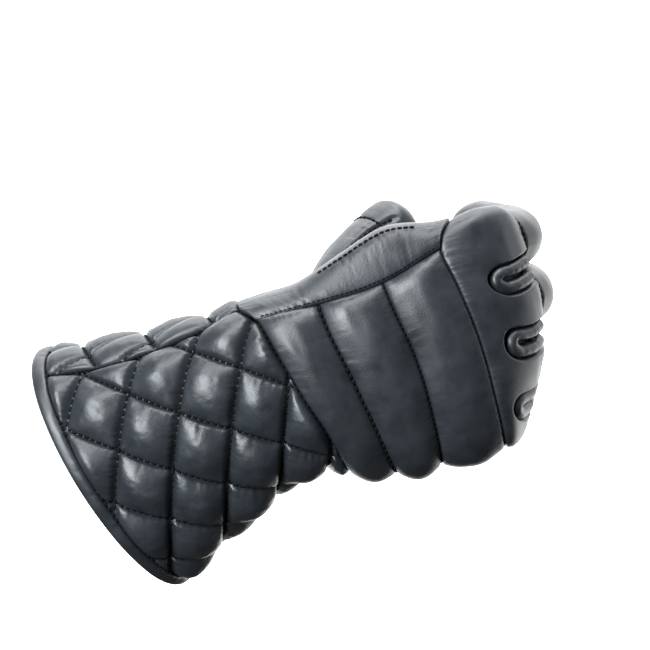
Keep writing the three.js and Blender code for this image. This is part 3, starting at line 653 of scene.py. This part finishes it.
PADDED = make_leather("padded_leather", GLOVE_COLOUR, roughness=0.41, grain=0.1)
PLAIN = make_leather("plain_leather", GLOVE_COLOUR, roughness=0.44, grain=0.18)
FLESH_SIDE = make_leather("flesh_side", (0.016, 0.016, 0.015), roughness=0.85, grain=0.5)
THREAD = make_leather("thread", (0.0035, 0.0035, 0.004), roughness=0.8, grain=0.3, shine=0.1)


def dress(obj, node, fill=None, slot="padded_leather", outside=PADDED):
    """Gives a piece its materials and body, and hides the solid of its node."""
    obj.data.materials.append(outside)
    obj.data.materials.append(FLESH_SIDE)
    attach(obj, "root")
    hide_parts(node)


# Cuff

LOW_QUILT = 0.55  # fullness on the palm side and towards the little finger
FULL_FROM = (18, 50)  # angles over which the quilting fills out
FULL_TO = (150, 190)  # angles over which it falls again
STEEP_VALLEY = (2.2, 1.4)  # depth and half width of the fold at a stitch line
LONG_VALLEY = (1.4, 1.2)
DEEPEST_FOLD = -2.4
LINE_SHIFT = 31  # keeps the gathers of two lines, and of the sides of one, from being alike
SIDE_SHIFT = 57
EDGE_SINK = 2.6  # how far the leather is turned in at the edges, and its rise from there
EDGE_RISE = 2.9


def family(line, angle, station):
    """Place between the stitch lines of a family, distance to the nearest, place along it."""
    slope, start, step = line
    along, round_ = station * CUFF_LENGTH, girth(angle, station)
    place = (along + slope * round_ - start) / step
    distance = np.abs(place - np.round(place)) * step / math.hypot(1, slope)
    run = (round_ - slope * along) / math.hypot(1, slope)
    nearest = np.round(place)
    return place, distance, run + LINE_SHIFT * nearest + np.where(place > nearest, SIDE_SHIFT, 0)


def valley(distance, depth, half_width):
    """Rounded fold along a line."""
    return depth * np.exp(-(distance / half_width) ** 2)


def quilt_height(angle, station, lines):
    """Height of the quilting, which is lower on the palm side and towards the little finger."""
    steep, steep_distance, steep_run = family(lines[0], angle, station)
    long, long_distance, long_run = family(lines[1], angle, station)
    fullness = mix(LOW_QUILT, 1, smoothstep(angle, *FULL_FROM) * (1 - smoothstep(angle, *FULL_TO)))
    steep_dome = np.abs(np.sin(np.pi * steep)) ** 0.72
    long_dome = np.abs(np.sin(np.pi * long)) ** 0.74
    height = QUILT_PUFF * fullness * steep_dome * (0.08 + 0.92 * long_dome)
    cell = 0.35 * NOISE[np.floor(steep).astype(int) % 256, np.floor(long).astype(int) % 256]
    height *= 1 + 0.25 * cell
    height -= valley(steep_distance, *STEEP_VALLEY)
    height -= valley(long_distance, *LONG_VALLEY)
    round_, along = girth(angle, station), station * CUFF_LENGTH
    height += 0.45 * fullness * puckers(long_run, long_distance, reach=4.5, seed=1, pitch=2.2)
    height += 0.48 * fullness * puckers(steep_run, steep_distance, reach=4, seed=8, pitch=2.2)
    for run, distance in ((long_run, long_distance), (steep_run, steep_distance)):
        height += 0.07 * stitch_dimples(run, distance)
    on_back = 2.2 * fullness - 1.2
    height += 0.4 * on_back * puckers(long_run, long_distance, reach=8, seed=12, pitch=4.5)
    to_wrist = np.clip(wrist_seam(angle) - station, 0, None) * CUFF_LENGTH
    height += 0.45 * puckers(round_, to_wrist, reach=6, seed=16, pitch=3.0)
    dome = steep_dome * long_dome
    soft = 0.42 * cloudy(round_ / 11, along / 11, seed=4) + 0.14 * cloudy(round_ / 4, along / 4, seed=6)
    height += dome * fullness * soft
    return np.maximum(height, DEEPEST_FOLD)


def quilted(name, node, place, lines, edge, columns, rows):
    """Quilted panel of the cuff."""
    def height(u, v):
        quilt = quilt_height(*place(u, v), lines) * from_edges(u, edge) * from_edges(v, 0.05)
        return -EDGE_SINK + EDGE_RISE * from_edges(u, 0.015) * round_edge(1 - v, 0.04) + quilt

    obj = sewn(name, on_hand(place), height, PAD_WALL, columns, rows)
    dress(obj, node, fill=0.7)


binding_station = constant(BINDING_WIDTH / CUFF_LENGTH)
CUFF_BACK = patch_places(cuff_seam, constant(PALM_SEAM), binding_station, wrist_seam)
CUFF_FRONT = patch_places(constant(PALM_SEAM - 360), cuff_seam, binding_station, wrist_seam)
quilted("quilted_cuff_back", "cuff_back", CUFF_BACK, BACK_QUILT, edge=0.05, columns=400, rows=228)
quilted("quilted_cuff_front", "cuff_front", CUFF_FRONT, FRONT_QUILT, edge=0.03, columns=300, rows=172)


def cuff_binding():
    """Folded edge round the mouth: a flat roll whose section is a superellipse."""
    columns, sides = 480, 24
    u, turn = np.meshgrid(np.arange(columns) / columns, np.arange(sides) / sides * 2 * np.pi)
    half = BINDING_WIDTH / 2 / CUFF_LENGTH
    station = half + (half - GAP / CUFF_LENGTH) * signed_power(np.cos(turn), 0.75)
    angle = 360 * u
    mid = hand(angle, np.full(u.shape, half))
    ahead = hand(angle, np.full(u.shape, half + 0.01)) - mid
    around = np.roll(mid, -1, 1) - np.roll(mid, 1, 1)
    normals = unit(np.cross(around, ahead))
    run = girth(np.where(angle > 200, angle - 360, angle), station)
    towards_stitches = smoothstep(np.cos(turn), -0.2, 0.7)
    lump = 0.35 * noise2(run / 14, 0 * run, seed=2)
    lump += 0.3 * noise2(run / 2.2, 0 * run, seed=3) * towards_stitches
    lift = -0.6 + (EDGE_RISE + lump) * signed_power(np.sin(turn), 0.85)
    points = hand(angle, station) + normals * lift[..., None]
    index = np.arange(points.shape[0] * points.shape[1]).reshape(points.shape[:2])
    index = np.concatenate([index, index[:1]], 0)
    vertices = points.reshape(-1, 3)
    quads, triangles = facing_out(vertices, quads_of(index, True), np.zeros((0, 3), int))
    obj = new_object("folded_cuff_binding", vertices, quads, triangles)
    dress(obj, "cuff_binding", fill=0.8)


cuff_binding()


# Back of the hand

CHANNEL_LENGTH = 150.0
CHANNEL_WIDTH = 32.0
GATHERED_WIDTH = 30.0
CHANNEL_SEAM_DEPTH = 1.2
WRIST_LEDGE = 1.8  # how far the first channel stands over the cuff


def back_channel(k, from_seam, to_seam):
    """Padded channel k across the back, from 1 at the wrist."""
    place = patch_places(band_seam, constant(PALM_SEAM), from_seam, to_seam)

    def height(u, v):
        run, width = u * CHANNEL_LENGTH, v * CHANNEL_WIDTH
        across = 0.45 * from_edges(v, 0.5) + 0.55 * np.sin(np.pi * v)
        pad = CHANNEL_PUFF * across * (0.12 + 0.88 * from_edges(u, 0.09))
        ledge = WRIST_LEDGE * round_edge(v, 0.04) * (1 - v) ** 2 if k == 1 else 0
        pad = pad + CHANNEL_SEAM_DEPTH * from_edges(v, 0.05) - CHANNEL_SEAM_DEPTH + ledge
        near_top = puckers(width + 80 * k, run, reach=5, seed=20 + k, pitch=2.1)
        near_sides = puckers(run, np.minimum(v, 1 - v) * GATHERED_WIDTH, reach=3.6, seed=30 + k, pitch=2.2)
        soft = 0.4 * from_edges(v, 0.4) * cloudy(run / 24, width / 10, seed=40 + k)
        return 0.3 + pad + 0.45 * near_top + 0.3 * near_sides + soft

    obj = sewn(f"padded_channel_{k}", on_hand(place), height, PAD_WALL, columns=240, rows=56)
    dress(obj, f"back_channel_{k}", fill=0.8)


CROSS_SEAMS = [wrist_seam, seam_through(CHANNEL_SEAM_1), seam_through(CHANNEL_SEAM_2), knuckle_seam]
for number in (1, 2, 3):
    back_channel(number, CROSS_SEAMS[number - 1], CROSS_SEAMS[number])


# Thumb-side band and palm

SIDE_LENGTH = 95.0  # wrist to knuckles
BAND_WIDTH = 70.0
PALM_WIDTH = 90.0
WEB_ROW = 15.5  # stitched row along the web, from the band's seam with the channels
THUMB_ROOT = 39.0  # middle of the thumb's hole, from the same seam
PALM_FOLD = 40.0  # middle of the fold across the palm, from the little-finger side


def side_band():
    place = patch_places(constant(THUMB_SEAM - 360), band_seam, wrist_seam, knuckle_seam)

    def height(u, v):
        run, across = v * SIDE_LENGTH, (1 - u) * BAND_WIDTH
        pad = BAND_PUFF * round_edge(1 - u, 0.09) * (1 - 0.35 * smoothstep(1 - u, 0.12, 0.4))
        gathers = 0.35 * puckers(run, across, reach=6, seed=50, pitch=2.2)
        gathers += 0.35 * puckers(run, np.abs(across - THUMB_ROOT), reach=3.2, seed=54, pitch=2.2)
        gathers += 0.5 * puckers(across, (1 - v) * SIDE_LENGTH, reach=4, seed=55, pitch=2.0)
        gathers += 0.4 * puckers(across, run, reach=5, seed=56)
        gathers += 0.45 * puckers(run, np.abs(across - WEB_ROW), reach=3.5, seed=58, pitch=2.0)
        return 0.5 + pad + gathers + 0.25 * cloudy(run / 22, across / 12, seed=52)

    obj = sewn("smooth_side_band", on_hand(place), height, LEATHER, columns=160, rows=200)
    dress(obj, "side_band", slot="plain_leather", outside=PLAIN)


def palm():
    place = patch_places(constant(PALM_SEAM), constant(THUMB_SEAM), wrist_seam, knuckle_seam)

    def height(u, v):
        run, across = v * SIDE_LENGTH, u * PALM_WIDTH
        fold = valley(across - PALM_FOLD - 12 * np.sin(run / 30), depth=-0.9, half_width=3)
        return 0.6 + 0.5 * cloudy(run / 18, across / 14, seed=60) + fold

    obj = sewn("plain_palm", on_hand(place), height, LEATHER, columns=96, rows=96)
    dress(obj, "palm_panel", slot="plain_leather", outside=PLAIN)


side_band()
palm()


# Knuckle panel and the rolled slots

ROW_LENGTH = FINGER_PITCH / (pitch_share(1) - pitch_share(0))
PANEL_LENGTH = 46.0
ROLL_OFFSET = 3.9
ROLL_HALF_WIDTH = 3.2
ROLL_HALF_HEIGHT = 3.0
ROLL_SINK = 1.3
SLOT_TURN = 0.145  # from the start of a slot to where its round end stops
SLOT_FLOOR = -2.2
SLOT_EDGE = (5.4, 8.6)  # distances from a slot's middle over which the pad rises again
SLOT_LIP = 7  # distance at which its gathers begin
SEAM_HEIGHTS = (0.45, 0.3, 0.25)  # shares of a pad at its seam, just beside it and further in
SEAM_REACHES = (1.6, 9)
CREST_HEIGHT = 3.4  # extra padding on the upper side of the index finger
CREST_PLACE = 0.075
CREST_WIDTH = 0.06


def seam_fall(distance):
    """Shallow seam between two padded pieces that lie level: half height at the seam itself."""
    at_seam, beside, further = SEAM_HEIGHTS
    near, far = SEAM_REACHES
    return at_seam + beside * smoothstep(distance, 0, near) + further * smoothstep(distance, 0, far)


def slot_middle(k, v):
    """Place across the panel of the middle of slot k."""
    start, first, last = SLOTS[k]
    return pitch_share(mix(first, last, (v - start) / (1 - start)))


def slot_distance(u, v, k):
    """Distance in millimetres to the middle line of slot k."""
    across = (u - slot_middle(k, v)) * ROW_LENGTH
    before = np.clip(SLOTS[k][0] + SLOT_TURN - v, 0, None) * PANEL_LENGTH
    return np.hypot(across, before)


def panel_height(u, v):
    run, across, left = v * PANEL_LENGTH, u * ROW_LENGTH, (1 - v) * PANEL_LENGTH
    pad = FINGER_PUFF * round_edge(v, 0.42) * seam_fall(left) * (0.15 + 0.85 * from_edges(u, 0.1))
    crest = valley(u - CREST_PLACE, CREST_HEIGHT, CREST_WIDTH) * smoothstep(v, 0.03, 0.4)
    crest *= 1 - 0.6 * smoothstep(v, 0.6, 1)
    height = 0.3 + pad + crest
    for k in range(len(SLOTS)):
        distance = slot_distance(u, v, k)
        groove = smoothstep(distance, *SLOT_EDGE)
        height = height * groove + (1 - groove) * SLOT_FLOOR
        beside = np.clip(distance - SLOT_LIP, 0, None)
        height += 0.12 * puckers(run + 40 * k, beside, reach=3, seed=70 + k) * groove
    top = 0.25 + 0.45 * (1 - smoothstep(u, 0.12, 0.35))
    seams = top * puckers(across, run, reach=4.5, seed=75, pitch=2.1)
    seams += 0.22 * puckers(across, left, reach=3.5, seed=76)
    sides = 0.4 * puckers(run, across, reach=5, seed=77, pitch=2.2)
    return height + seams + sides + 0.3 * cloudy(across / 16, run / 12, seed=78)


panel = sewn("padded_knuckle_panel", knuckles, panel_height, PAD_WALL, columns=320, rows=120)
dress(panel, "knuckle_panel", fill=0.8)


def rolled_slot(k):
    """Roll that lines a slot: down one side, round its closed end and back up the other."""
    start, end = SLOTS[k][0] + SLOT_TURN, 0.98
    steps, arc_steps, sides = 60, 24, 20
    straight = np.linspace(end, start, steps)
    arc = np.linspace(0, np.pi, arc_steps)[1:-1]
    side = np.full(steps, ROLL_OFFSET)
    across = np.concatenate([-side, -ROLL_OFFSET * np.cos(arc), side])
    along = np.concatenate([straight, start - ROLL_OFFSET * np.sin(arc) / PANEL_LENGTH, straight[::-1]])
    u = slot_middle(k, along) + across / ROW_LENGTH
    middle = knuckles(u, along)
    normals = normals_at(knuckles, u, along, 1e-3, 1e-3)
    ahead = unit(np.gradient(middle, axis=0))
    sideways = np.cross(ahead, normals)
    sink = ROLL_SINK - 4.5 * smoothstep(along, 0.82, end)
    centre = middle + normals * sink[:, None]
    turn = np.linspace(0, 2 * np.pi, sides, endpoint=False)
    run = np.arange(len(centre))[:, None] * 0.8
    swell = 1 + 0.07 * noise2(run / 3, 3 * turn[None, :], seed=80 + k)
    side = ROLL_HALF_WIDTH * np.cos(turn)[None, :] * swell
    rise = ROLL_HALF_HEIGHT * np.sin(turn)[None, :] * swell
    points = centre[:, None] + sideways[:, None] * side[..., None] + normals[:, None] * rise[..., None]
    rows, round_count = points.shape[:2]
    index = np.arange(rows * round_count).reshape(rows, round_count)
    vertices = np.concatenate([points.reshape(-1, 3), centre[:1], centre[-1:]])
    first, last = len(vertices) - 2, len(vertices) - 1
    triangles = [(first, b, a) for a, b in zip(index[0], np.roll(index[0], -1))]
    triangles += [(last, a, b) for a, b in zip(index[-1], np.roll(index[-1], -1))]
    quads, triangles = facing_out(vertices, quads_of(index, True), np.array(triangles))
    obj = new_object(f"rolled_slot_{k + 1}", vertices, quads, triangles)
    dress(obj, f"fourchette_{k + 1}", slot="plain_leather")


for number in range(3):
    rolled_slot(number)


# Fingers and thumb

CAP_START = 0.45
INNER_END = 0.95  # where the inside of a closed tube ends, as a share of the tube
FINGER_GIRTH = 86.0
THUMB_GIRTH = 91.0
THUMB_BONE = 27.0
BASE_INSET = 1.2  # finger tubes under the padded pieces


def cap_size(v):
    """Size of a closed tube's section, which falls to 0 at its tip."""
    return round_edge(1 - v, 1 - CAP_START)


def tube(name, node, surface, axis, station, height, thickness, columns, rows, sign, cap=False, **worn):
    """Leather tube round an axis, open at both ends or closed by a cap at its far end."""
    u, v = grid_axes(columns, rows, True)
    base = surface(360 * u, station(v))
    normals = grid_normals(base, True, sign)
    outer = base + normals * height(u, v)[..., None]
    inner = base - normals * thickness
    if cap:
        middle = axis(station(v))
        outer = middle + (outer - middle) * cap_size(v)[..., None]
        shorter = v * INNER_END
        inner_middle = axis(station(shorter))
        inner = surface(360 * u, station(shorter)) - normals * thickness
        inner = inner_middle + (inner - inner_middle) * cap_size(v)[..., None]
        outer[-1] = middle[-1]
        inner[-1] = inner_middle[-1]
    obj = wall(name, outer, inner[::MESH_RATIO, ::MESH_RATIO], closed=True)
    weld(obj)
    dress(obj, node, **worn)


def weld(obj):
    """Merges the points that a cap draws together."""
    mesh = bmesh.new()
    mesh.from_mesh(obj.data)
    bmesh.ops.remove_doubles(mesh, verts=mesh.verts, dist=1e-6)
    bmesh.ops.dissolve_degenerate(mesh, edges=mesh.edges, dist=1e-7)
    mesh.to_mesh(obj.data)
    mesh.free()
    obj.data.shade_smooth()


def finger_pieces(k):
    """Thin base, padded middle and closed end of one finger."""
    name = FINGER_NAMES[k]
    axis = lambda station: blend(FINGER_AXES[k], station)
    surface = lambda angle, station: finger(k, angle, station)
    inset = lambda angle, station: finger(k, angle, station, -BASE_INSET)

    def height(length, seed, puff):
        def lift(u, v):
            round_, run = u * FINGER_GIRTH, v * length
            facing_back = np.cos(np.radians(360 * u))
            pad = puff * seam_fall(run) * seam_fall(length - run) * np.clip(facing_back, 0, 1) ** 1.1
            fold = np.clip(-facing_back, 0, 1) * valley(run - length / 2, depth=-0.8, half_width=2.2)
            seams = 0.22 * puckers(round_, np.minimum(v, 1 - v) * length, reach=3.2, seed=seed)
            return 0.1 + pad + fold + seams + 0.22 * cloudy(round_ / 11, run / 9, seed + 3)
        return lift

    tube(f"{name}_palm_side", f"{name}_base", inset, axis,
         lambda v: mix(0.98, JOINT_SEAM - 0.01, v), lambda u, v: 0.3 * cloudy(8 * u, 5 * v, seed=90 + k),
         LEATHER - 0.4, columns=96, rows=48, sign=-1, slot="plain_leather", outside=PLAIN)
    tube(f"{name}_joint_pad", f"{name}_middle", surface, axis,
         lambda v: mix(JOINT_SEAM + SEAM_MARGIN, TIP_SEAM - SEAM_MARGIN / 2, v),
         height(length=36, seed=100 + k, puff=FINGER_PUFF),
         PAD_WALL, columns=144, rows=72, sign=-1, fill=0.8)
    tube(f"{name}_end_pad", f"{name}_tip", surface, axis,
         lambda v: mix(TIP_SEAM + SEAM_MARGIN / 2, 4.0, v),
         height(length=34, seed=110 + k, puff=0.75 * FINGER_PUFF),
         PAD_WALL, columns=144, rows=72, sign=-1, cap=True, fill=0.8)


for number in range(4):
    finger_pieces(number)


def thumb_row(station):
    """Angle of the stitched row along the thumb, beside the web."""
    return 42 + 24 * (station - 0.9)


def thumb_groove(angle, station):
    """Groove of the stitched row, with gathers on both sides."""
    distance = np.abs(np.radians(angle - thumb_row(station))) * THUMB_WIDTH / 2
    fade = smoothstep(station, 0.2, 0.6) * (1 - smoothstep(station, 2.25, 2.5))
    gathers = 0.5 * puckers(station * THUMB_BONE, distance, reach=4, seed=130, pitch=2.0)
    return fade * (gathers - valley(distance, depth=1.1, half_width=1.3))


def thumb_pieces():
    axis = lambda station: blend(THUMB_POINTS, station)

    def height(first, last, length, seed, puff):
        def lift(u, v):
            round_, run = u * THUMB_GIRTH, v * length
            seams = 0.3 * puckers(round_, np.minimum(v, 1 - v) * length, reach=4, seed=seed)
            soft = 0.35 * cloudy(round_ / 12, run / 10, seed + 2)
            return puff * from_edges(v, 0.4) + thumb_groove(360 * u, mix(first, last, v)) + seams + soft
        return lift

    root, seam, tip = 0.0, THUMB_SEAM_STATION, 3.0
    tube("padded_thumb", "thumb_base", thumb, axis,
         lambda v: mix(root, seam - SEAM_MARGIN, v), height(root, seam, length=45, seed=120, puff=1.4),
         PAD_WALL, columns=160, rows=88, sign=1, fill=0.7)
    tube("padded_thumb_end", "thumb_tip", thumb, axis,
         lambda v: mix(seam + SEAM_MARGIN, tip, v), height(seam, tip, length=34, seed=124, puff=1.2),
         PAD_WALL, columns=160, rows=72, sign=1, cap=True, fill=0.7)


thumb_pieces()


# Stitching

STITCH_LENGTH = 2.95
STITCH_RADIUS = 0.74
STITCH_RINGS = 9
STITCH_SIDES = 6
END_SINK = 0.45  # how far the ends of a stitch go down into the leather
OVER_QUILT = 0.7
QUILT_LINES = range(-12, 12)
QUILT_STATIONS = np.arange(0.085, 1.2, 0.008)
CLEAR_ANGLE = 1.5  # free of stitches beside the panel's seams
CLEAR_STATION = 0.012
LINE_POINTS = 120


def stitch_run(points, normals, scale=1.0):
    """Stitches laid end to end along a line of points, as one array of vertices and quads."""
    steps = np.linalg.norm(np.diff(points, axis=0), axis=1)
    places = np.concatenate([[0], np.cumsum(steps)])
    pitch = STITCH_PITCH * math.sqrt(scale)
    count = int(places[-1] // pitch)
    if count < 1:
        return np.zeros((0, 3)), np.zeros((0, 4), int)
    middles = (np.arange(count) + 0.5) * pitch
    at = lambda values, x: np.stack([np.interp(x, places, values[:, k]) for k in range(3)], -1)
    centre = at(points, middles)
    ahead = unit(at(points, middles + 0.5) - at(points, middles - 0.5))
    up = unit(at(normals, middles))
    side = np.cross(ahead, up)
    rings = np.linspace(-1, 1, STITCH_RINGS)
    turn = np.linspace(0, 2 * np.pi, STITCH_SIDES, endpoint=False)
    size = scale * STITCH_RADIUS * np.sqrt(np.clip(1 - rings ** 4, 0.02, 1))
    sink = -END_SINK * scale * rings ** 2
    template = np.stack([
        np.repeat(rings * STITCH_LENGTH * pitch / STITCH_PITCH / 2, len(turn)),
        (size[:, None] * np.cos(turn)).ravel(),
        (size[:, None] * np.sin(turn) + sink[:, None]).ravel(),
    ], -1)
    vertices = centre[:, None]
    for k, direction in enumerate((ahead, side, up)):
        vertices = vertices + direction[:, None] * template[None, :, k:k + 1]
    index = np.arange(len(rings) * len(turn)).reshape(len(rings), len(turn))
    one = quads_of(index, True)
    offsets = np.arange(count)[:, None, None] * len(template)
    return vertices.reshape(-1, 3), (one[None] + offsets).reshape(-1, 4)


def stitching(name, runs):
    """All the stitches of a seam as one piece."""
    vertices, quads, start = [], [], 0
    for run in runs:
        v, q = stitch_run(*run)
        vertices.append(v)
        quads.append(q + start)
        start += len(v)
    obj = new_object(name, np.concatenate(vertices), np.concatenate(quads))
    obj.data.materials.append(THREAD)
    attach(obj, "root")


def hand_frame(angle, station, lift):
    """Points and normals over the sewn surface of cuff and hand along a line."""
    normals = normals_at(hand, angle, station, 0.2, 1e-3)
    return hand(angle, station) + normals * np.asarray(lift)[..., None], normals


def quilt_runs(lines, from_angle, to_angle):
    """Stitches along both families of lines, the steep ones larger."""
    runs = []
    for (slope, start, step), scale in ((lines[1], 1.0), (lines[0], 1.25)):
        for k in QUILT_LINES:
            places = []
            for station in QUILT_STATIONS:
                angle = angle_at((start + k * step - station * CUFF_LENGTH) / slope, station)
                first, last = float(from_angle(station)), float(to_angle(station))
                inside = first + CLEAR_ANGLE < angle < last - CLEAR_ANGLE
                if inside and station < float(wrist_seam(angle)) - CLEAR_STATION:
                    places.append((angle, station))
            if len(places) > 3:
                angles, stations = np.array(places).T
                lift = quilt_height(angles, stations, lines) + OVER_QUILT
                runs.append((*hand_frame(angles, stations, lift), scale))
    return runs


stitching("quilt_stitching_back", quilt_runs(BACK_QUILT, cuff_seam, constant(PALM_SEAM)))
stitching("quilt_stitching_front", quilt_runs(FRONT_QUILT, constant(PALM_SEAM - 360), cuff_seam))


def seam_line(seam, first, last, side, lift, scale=1.0):
    """Stitches beside a seam across the hand, side millimetres along the arm from it."""
    angle = np.linspace(first, last, LINE_POINTS)
    return *hand_frame(angle, seam(angle) + side / HAND_LENGTH, np.full(LINE_POINTS, lift, float)), scale


def edge_line(seam, first, last, side, lift, scale=1.0):
    """Stitches beside a seam along the arm, side degrees round the section from it."""
    station = np.linspace(first, last, LINE_POINTS)
    return *hand_frame(seam(station) + side, station, np.full(LINE_POINTS, lift, float)), scale


def thumb_line(angle, station, lift, scale=1.0):
    """Stitches over the thumb."""
    angle, station = np.broadcast_arrays(angle, station)
    points = thumb(angle, station, lift)
    return points, unit(points - blend(THUMB_POINTS, station)), scale


def finger_line(k, first, last, lift, scale=1.0):
    """Stitches across a finger, where its joint pad meets the knuckle panel."""
    angle = np.linspace(first, last, LINE_POINTS // 2)
    points = finger(k, angle, JOINT_SEAM, lift)
    return points, unit(points - blend(FINGER_AXES[k], np.full(len(angle), JOINT_SEAM))), scale


stitching("channel_stitching", [
    seam_line(CROSS_SEAMS[0], 34, 160, -0.2, 0.3),
    seam_line(CROSS_SEAMS[1], 37, 200, 0, 1.1),
    seam_line(CROSS_SEAMS[2], 40, 200, 0, 0.3, 0.7),
    seam_line(CROSS_SEAMS[3], 36, 175, -0.2, 0.2, 0.6),
])
stitching("band_stitching", [edge_line(band_seam, 1.1, 1.97, -2.4, 2.1, 0.5)])
stitching("web_stitching", [edge_line(constant(13), 1.42, 1.9, 0, 3.1, 0.8)])
row_stations = np.linspace(0.7, 2.3, 80)
stitching("thumb_stitching", [
    thumb_line(np.linspace(0, 360, LINE_POINTS), THUMB_SEAM_STATION, 0.6, 0.8),
    thumb_line(thumb_row(row_stations), row_stations, 0.7, 0.9),
])
JOINT_SPANS = ((-35, 85), (-38, 38), (-38, 38), (-75, 35))
stitching("joint_stitching", [finger_line(k, *span, 2.6, 0.75) for k, span in enumerate(JOINT_SPANS)])
stitching("binding_stitching", [seam_line(constant(BINDING_WIDTH / CUFF_LENGTH), 0, 359, 0.3, 0.9)])
stitching("radial_stitching", [edge_line(cuff_seam, 0.09, 1.02, 0, 0.6)])


# Stage, light and camera

def backdrop():
    """Pale floor that curves up into a wall behind the glove."""
    floor, wall_back, bend = -0.24, 1.6, 0.5
    profile = [(0.2, floor), (wall_back - bend, floor)]
    for turn in np.linspace(0, math.pi / 2, 14)[1:]:
        profile.append((wall_back - bend + bend * math.sin(turn), floor + bend - bend * math.cos(turn)))
    profile.append((wall_back, 3.0))
    vertices = [(x, y, z) for x in (-3.0, 3.0) for y, z in profile]
    count = len(profile)
    faces = [(i, i + 1, i + 1 + count, i + count) for i in range(count - 1)]
    mesh = bpy.data.meshes.new("backdrop")
    mesh.from_pydata(vertices, [], faces)
    mesh.shade_smooth()
    material = bpy.data.materials.new("backdrop")
    material.use_nodes = True
    set_inputs(material.node_tree.nodes["Principled BSDF"], {
        "Base Color": (0.94, 0.94, 0.94, 1), "Roughness": 0.9, "Specular IOR Level": 0.1,
        "Emission Color": (1, 1, 1, 1), "Emission Strength": 0.55,
    })
    mesh.materials.append(material)
    link("backdrop", mesh)


def area_light(name, place, aim, size, power, colour=(1, 1, 1)):
    data = bpy.data.lights.new(name, "AREA")
    data.shape = "RECTANGLE"
    data.size, data.size_y = size
    data.energy = power
    data.color = colour
    obj = link(name, data)
    obj.location = place
    obj.rotation_euler = (Vector(aim) - Vector(place)).to_track_quat("-Z", "Y").to_euler()


def camera():
    """At the photograph's angle: straight at the back of the hand, from 12 degrees above."""
    elevation, distance, view_width = math.radians(12), 1.3, 0.325
    offset_right, offset_up = -0.0625, 0.0025
    up = Vector((0, math.sin(elevation), math.cos(elevation)))
    back = Vector((0, -math.cos(elevation), math.sin(elevation)))
    target = Vector(FIST_AXIS * MM) + Vector((offset_right, 0, 0)) + up * offset_up
    data = bpy.data.cameras.new("camera")
    data.sensor_width = 36
    data.lens = 36 * distance / view_width
    data.clip_end = 20
    obj = link("camera", data)
    obj.location = target + back * distance
    obj.rotation_euler = (-back).to_track_quat("-Z", "Y").to_euler()
    bpy.context.scene.camera = obj


backdrop()
area_light("key", (-0.85, -1.2, 0.52), (0, 0, 0), (0.8, 1.1), 62, (0.93, 0.98, 1.0))
area_light("upper", (-0.45, -0.7, 1.35), (0, 0, 0), (0.5, 0.5), 12)
area_light("side", (1.3, 0.35, 0.4), (0.08, 0, 0), (0.5, 1.0), 3, (0.86, 0.93, 1.0))
area_light("top", (0.25, -0.2, 1.4), (0, 0, 0), (1.2, 0.6), 26)
area_light("wall", (0, 0.9, 1.8), (0, 1.6, 0.0), (2.5, 0.6), 60)
world = bpy.data.worlds.new("studio")
world.use_nodes = True
set_inputs(world.node_tree.nodes["Background"], {"Color": (1, 1, 1, 1), "Strength": 0.1})
bpy.context.scene.world = world
bpy.context.scene.view_settings.view_transform = "Standard"
camera()
